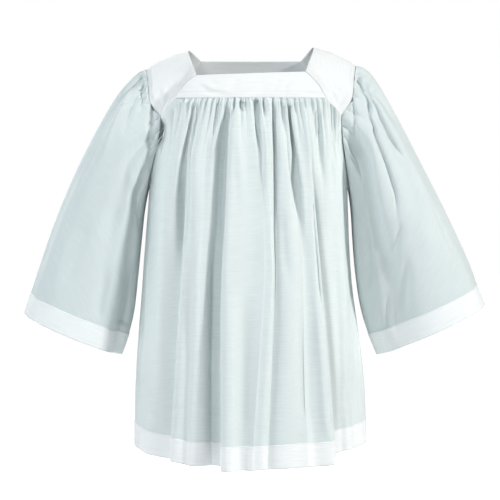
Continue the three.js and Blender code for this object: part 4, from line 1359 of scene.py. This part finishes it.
@dataclass(frozen=True)
class Fabric:
    """A finish of the cloth.

    Each row of stitches is given by its place down the piece's flat coordinates. Lengths are in metres, and
    the slubs, crinkles and clouds are given by how often they come in a metre.
    """

    name: str
    colour: tuple[float, float, float]
    roughness: float
    sheen: float
    stitches: tuple[float, ...] = ()

    SHEEN_ROUGHNESS = 0.45
    SPECULAR = 0.25
    THREAD_PITCH = 0.0009
    SLUBS = (26.0, 460.0)
    CRINKLES = 46.0
    CLOUDS = 9.0
    WEAVE_HEIGHT = 0.10
    SLUB_HEIGHT = 0.35
    CRINKLE_HEIGHT = 1.6
    SLUB_TONE = 0.17
    CLOUD_TONE = 0.05
    LOWEST_TONE = 0.89
    STITCH_PITCH = 0.0028
    STITCH_SHARE = 0.72
    ROW_HALF_WIDTH = 0.0005
    STITCH_HEIGHT = 1.8
    ROW_HEIGHT = -1.6
    # Painted shade: how much darker the cloth is along each row of stitches.
    ROW_PAINTED_SHADE = -0.05
    BUMP_STRENGTH = 0.5
    BUMP_UNIT = 0.0004

    def material(self) -> bpy.types.Material:
        """The node material: a fine plain weave with slubs across it, soft crinkles and rows of stitches,
        with painted shade along each row.

        Returns:
            The material.
        """
        mat = bpy.data.materials.new(self.name)
        mat.use_nodes = True
        graph = Graph(mat.node_tree)
        shader = mat.node_tree.nodes["Principled BSDF"]
        shader.inputs["Roughness"].default_value = self.roughness
        shader.inputs["Sheen Weight"].default_value = self.sheen
        shader.inputs["Sheen Roughness"].default_value = self.SHEEN_ROUGHNESS
        shader.inputs["Specular IOR Level"].default_value = self.SPECULAR
        u, v = graph.cloth()
        warp = graph.math("SINE", graph.math("MULTIPLY", u, FULL_TURN / self.THREAD_PITCH))
        weft = graph.math("SINE", graph.math("MULTIPLY", v, FULL_TURN / self.THREAD_PITCH))
        weave = graph.math("MULTIPLY", warp, weft)
        long_u, short_v = (graph.math("MULTIPLY", way, often) for way, often in zip((u, v), self.SLUBS))
        slub = graph.noise(graph.vector(long_u, short_v), 1.0, 2.0)
        crinkle = graph.noise(graph.objects(), self.CRINKLES, 3.0)
        cloud = graph.noise(graph.objects(), self.CLOUDS, 2.0)
        height = graph.math("MULTIPLY", slub, self.SLUB_HEIGHT)
        height = graph.math("MULTIPLY_ADD", weave, self.WEAVE_HEIGHT, height)
        height = graph.math("MULTIPLY_ADD", crinkle, self.CRINKLE_HEIGHT, height)
        clouded = graph.math("MULTIPLY", cloud, self.CLOUD_TONE)
        shade = graph.math("MULTIPLY_ADD", slub, self.SLUB_TONE, clouded)
        tone = graph.math("ADD", shade, self.LOWEST_TONE)
        if self.stitches:
            along = graph.math("FRACT", graph.math("MULTIPLY", u, 1 / self.STITCH_PITCH))
            dash = graph.math("LESS_THAN", along, self.STITCH_SHARE)
            rows = None
            for place in self.stitches:
                apart = graph.math("ABSOLUTE", graph.math("SUBTRACT", v, place))
                near = graph.math("LESS_THAN", apart, self.ROW_HALF_WIDTH)
                rows = near if rows is None else graph.math("MAXIMUM", rows, near)
            sewn = graph.math("MULTIPLY", dash, rows)
            height = graph.math("MULTIPLY_ADD", rows, self.ROW_HEIGHT, height)
            height = graph.math("MULTIPLY_ADD", sewn, self.STITCH_HEIGHT, height)
            # Painted shade: the cloth is darker along each row of stitches.
            tone = graph.math("MULTIPLY_ADD", rows, self.ROW_PAINTED_SHADE, tone)
        graph.link(graph.tinted(self.colour, tone), shader.inputs["Base Color"])
        graph.link(graph.bump(height, self.BUMP_STRENGTH, self.BUMP_UNIT), shader.inputs["Normal"])
        return mat


class Graph:
    """Short names for the nodes that a fabric uses."""

    def __init__(self, tree: bpy.types.NodeTree) -> None:
        """Keeps the tree.

        Args:
            tree: The material's node tree.
        """
        self.tree = tree

    def link(self, source: bpy.types.NodeSocket, target: bpy.types.NodeSocket) -> None:
        """Joins an output, the source, to an input, the target."""
        self.tree.links.new(source, target)

    def cloth(self) -> tuple[bpy.types.NodeSocket, bpy.types.NodeSocket]:
        """The piece's flat coordinates.

        Returns:
            The places across and down, in metres.
        """
        uv = self.tree.nodes.new("ShaderNodeUVMap")
        uv.uv_map = "cloth"
        parts = self.tree.nodes.new("ShaderNodeSeparateXYZ")
        self.link(uv.outputs["UV"], parts.inputs[0])
        return parts.outputs["X"], parts.outputs["Y"]

    def objects(self) -> bpy.types.NodeSocket:
        """Object coordinates."""
        return self.tree.nodes.new("ShaderNodeTexCoord").outputs["Object"]

    def math(self, operation: str, *values: bpy.types.NodeSocket | float) -> bpy.types.NodeSocket:
        """A Math node.

        Args:
            operation: Its operation.
            values: Sockets or numbers.

        Returns:
            Its output.
        """
        node = self.tree.nodes.new("ShaderNodeMath")
        node.operation = operation
        for socket, value in zip(node.inputs, values):
            if isinstance(value, (int, float)):
                socket.default_value = value
            else:
                self.link(value, socket)
        return node.outputs[0]

    def vector(self, x: bpy.types.NodeSocket, y: bpy.types.NodeSocket) -> bpy.types.NodeSocket:
        """A vector from two numbers.

        Args:
            x: Its first part.
            y: Its second.

        Returns:
            The vector.
        """
        node = self.tree.nodes.new("ShaderNodeCombineXYZ")
        self.link(x, node.inputs[0])
        self.link(y, node.inputs[1])
        return node.outputs[0]

    def noise(self, place: bpy.types.NodeSocket, scale: float, detail: float) -> bpy.types.NodeSocket:
        """A noise texture.

        Args:
            place: Where it is read.
            scale: Its scale.
            detail: Its detail.

        Returns:
            Its value, from 0 to 1.
        """
        node = self.tree.nodes.new("ShaderNodeTexNoise")
        node.inputs["Scale"].default_value = scale
        node.inputs["Detail"].default_value = detail
        self.link(place, node.inputs["Vector"])
        return node.outputs[0]

    def tinted(self, colour: tuple[float, float, float], tone: bpy.types.NodeSocket) -> bpy.types.NodeSocket:
        """A colour times a tone.

        Args:
            colour: The colour.
            tone: The factor.

        Returns:
            The product.
        """
        node = self.tree.nodes.new("ShaderNodeVectorMath")
        node.operation = "SCALE"
        node.inputs[0].default_value = colour
        self.link(tone, node.inputs["Scale"])
        return node.outputs[0]

    def bump(self, height: bpy.types.NodeSocket, strength: float, distance: float) -> bpy.types.NodeSocket:
        """A bump from a height.

        Args:
            height: The height.
            strength: How strong it is.
            distance: The height's unit, in metres.

        Returns:
            The normal.
        """
        node = self.tree.nodes.new("ShaderNodeBump")
        node.inputs["Strength"].default_value = strength
        node.inputs["Distance"].default_value = distance
        self.link(height, node.inputs["Height"])
        return node.outputs[0]


BATISTE = Fabric("batiste", (0.675, 0.735, 0.735), 0.85, 0.2)
# The sleeves' batiste is darker than the body's: partly the dark inside showing through the sheer cloth,
# partly painted shade on the sleeves.
SHADED_SLEEVE_BATISTE = Fabric("batiste_sleeve_painted_shade", (0.61, 0.675, 0.68), 0.85, 0.2)
HEM = Fabric("batiste_hem", (0.83, 0.85, 0.855), 0.8, 0.25, stitches=(0.0022, 0.0445))
# The cuffs' and the yoke's doubled batiste is set darker than the hem's to offset the stronger light that
# falls on them: painted shade.
SHADED_CUFF = Fabric("batiste_cuff_painted_shade", (0.80, 0.83, 0.835), 0.8, 0.25, stitches=(0.0022,))
SHADED_YOKE = Fabric("batiste_yoke_painted_shade", (0.775, 0.79, 0.795), 0.8, 0.25, stitches=(0.0102, 0.0020))


@dataclass(frozen=True)
class Lamp:
    """A soft lamp: a disk, with its place and size in metres and its power in watts."""

    name: str
    place: tuple[float, float, float]
    size: float
    power: float
    colour: tuple[float, float, float] = (1.0, 1.0, 1.0)


class Studio:
    """A pale floor, soft lamps and the camera."""

    FLOOR_Z = -1.43
    FLOOR_REACH = 14.0
    FLOOR_COLOUR = (0.93, 0.93, 0.93, 1)
    FLOOR_ROUGHNESS = 0.9
    FLOOR_GLOW = 0.2
    FLOOR_SEEN_GLOW = 0.8
    SKY_COLOUR = (0.86, 0.94, 1.0, 1)
    SKY_STRENGTH = 0.08
    WHITE = (1, 1, 1, 1)
    MIDDLE = (0, 0, -0.4)
    FARTHEST = 100.0
    LAMPS = (
        Lamp("key", (2.9, -1.55, 1.5), 0.35, 112.0, (1.0, 0.995, 0.97)),
        Lamp("fill", (-1.4, -3.2, 1.5), 0.8, 46.0, (0.94, 0.98, 1.0)),
        Lamp("side", (-3.0, -1.6, 0.6), 0.9, 20.0, (0.80, 0.90, 1.0)),
        Lamp("top", (-2.0, -0.6, 2.0), 1.0, 33.0, (1.0, 1.0, 0.98)),
        Lamp("back", (-1.6, 2.8, 1.2), 1.4, 60.0),
    )

    def floor(self) -> None:
        """A wide pale floor at the height of the wearer's feet, white where the camera sees it itself."""
        mesh = bpy.data.meshes.new("floor")
        signs = ((-1, -1), (1, -1), (1, 1), (-1, 1))
        corners = [(x * self.FLOOR_REACH, y * self.FLOOR_REACH, self.FLOOR_Z) for x, y in signs]
        mesh.from_pydata(corners, [], [(0, 1, 2, 3)])
        mat = bpy.data.materials.new("floor")
        mat.use_nodes = True
        tree = mat.node_tree
        shader = tree.nodes["Principled BSDF"]
        shader.inputs["Base Color"].default_value = self.FLOOR_COLOUR
        shader.inputs["Roughness"].default_value = self.FLOOR_ROUGHNESS
        shader.inputs["Emission Color"].default_value = self.WHITE
        path, glow = tree.nodes.new("ShaderNodeLightPath"), tree.nodes.new("ShaderNodeMath")
        glow.operation = "MULTIPLY_ADD"
        glow.inputs[1].default_value = self.FLOOR_SEEN_GLOW
        glow.inputs[2].default_value = self.FLOOR_GLOW
        tree.links.new(path.outputs["Is Camera Ray"], glow.inputs[0])
        tree.links.new(glow.outputs[0], shader.inputs["Emission Strength"])
        mesh.materials.append(mat)
        obj = bpy.data.objects.new("floor", mesh)
        bpy.context.scene.collection.objects.link(obj)

    def lamps(self) -> None:
        """The soft lamps, each aimed at the garment's middle."""
        for lamp in self.LAMPS:
            data = bpy.data.lights.new(lamp.name, "AREA")
            data.shape = "DISK"
            data.size, data.energy, data.color = lamp.size, lamp.power, lamp.colour
            obj = bpy.data.objects.new(lamp.name, data)
            obj.location = lamp.place
            aim = Vector(self.MIDDLE) - Vector(lamp.place)
            obj.rotation_euler = aim.to_track_quat("-Z", "Y").to_euler()
            bpy.context.scene.collection.objects.link(obj)

    def world(self) -> None:
        """An even pale sky, white where the camera sees it itself."""
        world = bpy.data.worlds.new("studio")
        world.use_nodes = True
        tree = world.node_tree
        soft = tree.nodes["Background"]
        soft.inputs["Color"].default_value = self.SKY_COLOUR
        soft.inputs["Strength"].default_value = self.SKY_STRENGTH
        white = tree.nodes.new("ShaderNodeBackground")
        white.inputs["Color"].default_value = self.WHITE
        white.inputs["Strength"].default_value = 1.0
        path, mix = tree.nodes.new("ShaderNodeLightPath"), tree.nodes.new("ShaderNodeMixShader")
        tree.links.new(path.outputs["Is Camera Ray"], mix.inputs[0])
        tree.links.new(soft.outputs[0], mix.inputs[1])
        tree.links.new(white.outputs[0], mix.inputs[2])
        tree.links.new(mix.outputs[0], tree.nodes["World Output"].inputs[0])
        bpy.context.scene.world = world

    def camera(self) -> None:
        """The camera of the view that the creases are placed in."""
        data = bpy.data.cameras.new("camera")
        data.lens, data.sensor_width = VIEW.lens, VIEW.sensor
        data.clip_end = self.FARTHEST
        obj = bpy.data.objects.new("camera", data)
        obj.location = Vector(VIEW.place / METRE)
        obj.rotation_euler = Vector(VIEW.ahead).to_track_quat("-Z", "Y").to_euler()
        bpy.context.scene.collection.objects.link(obj)
        bpy.context.scene.camera = obj

    def build(self) -> None:
        """Sets up everything round the garment."""
        self.camera()
        self.floor()
        self.lamps()
        self.world()
        bpy.context.scene.view_settings.view_transform = "Standard"


class Surplice:
    """The whole garment."""

    def __init__(self) -> None:
        """Makes the finishes."""
        self.batiste, self.hem = BATISTE.material(), HEM.material()
        # The sleeves' finish is the darker batiste: partly the dark inside showing through, partly painted
        # shade.
        self.sleeve = SHADED_SLEEVE_BATISTE.material()
        # The cuffs' and the yoke's finishes are the doubled batiste darkened against the strong light on
        # them: painted shade.
        self.cuff, self.yoke = SHADED_CUFF.material(), SHADED_YOKE.material()

    def place(self, piece: bpy.types.Object, node: str, slot: str) -> None:
        """Puts a piece in a node's stead.

        Args:
            piece: The piece.
            node: The node's name.
            slot: The material slot of the record. It is not used.
        """
        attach(piece, "root")
        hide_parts(node)

    def build(self) -> None:
        """Makes all the pieces."""
        panels = [Panel(face) for face in Face]
        for panel in panels:
            cloth = Mesher.sheet(f"{panel.name}_cloth", panel.cloth(), self.batiste)
            hem = Mesher.shell(f"{panel.name}_hem", panel.hem(), HEM_THICK, self.hem)
            self.place(cloth, panel.name, "cloth")
            self.place(hem, f"hem_{panel.name}", "doubled")
        for side, name in ((1, "left"), (-1, "right")):
            sleeve = Sleeve(side, panels)
            # The sleeve cloth takes the darker batiste, which is partly painted shade.
            cloth = Mesher.sheet(f"sleeve_{name}_cloth", sleeve.cloth(), self.sleeve)
            # The cuff takes its darker copy of the doubled batiste, which is painted shade.
            cuff = Mesher.shell(f"cuff_{name}_band", sleeve.cuff(), HEM_THICK, self.cuff)
            self.place(cloth, f"sleeve_{name}", "cloth")
            self.place(cuff, f"cuff_{name}", "doubled")
        yoke = Yoke()
        for name, edges, flip, flat in (
            ("front", yoke.straight(Face.FRONT), False, (0.29, 0.055)),
            ("back", yoke.straight(Face.BACK), True, (0.29, 0.08)),
            ("left", yoke.over(1), True, (0.34, 0.09)),
            ("right", yoke.over(-1), False, (0.34, 0.09)),
        ):
            grid = yoke.grid(edges, flip, YOKE_CREASES.get(name, ()))
            # Each yoke piece takes its darker copy of the doubled batiste, which is painted shade.
            piece = Mesher.shell(f"yoke_{name}_cloth", grid, YOKE_THICK, self.yoke)
            self.place(piece, f"yoke_{name}", "doubled")


def main() -> None:
    """Builds the scene."""
    logging.basicConfig(level=logging.INFO, format="%(message)s")
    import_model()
    Studio().build()
    Surplice().build()
    bpy.context.view_layer.update()


if __name__ == "__main__":
    main()
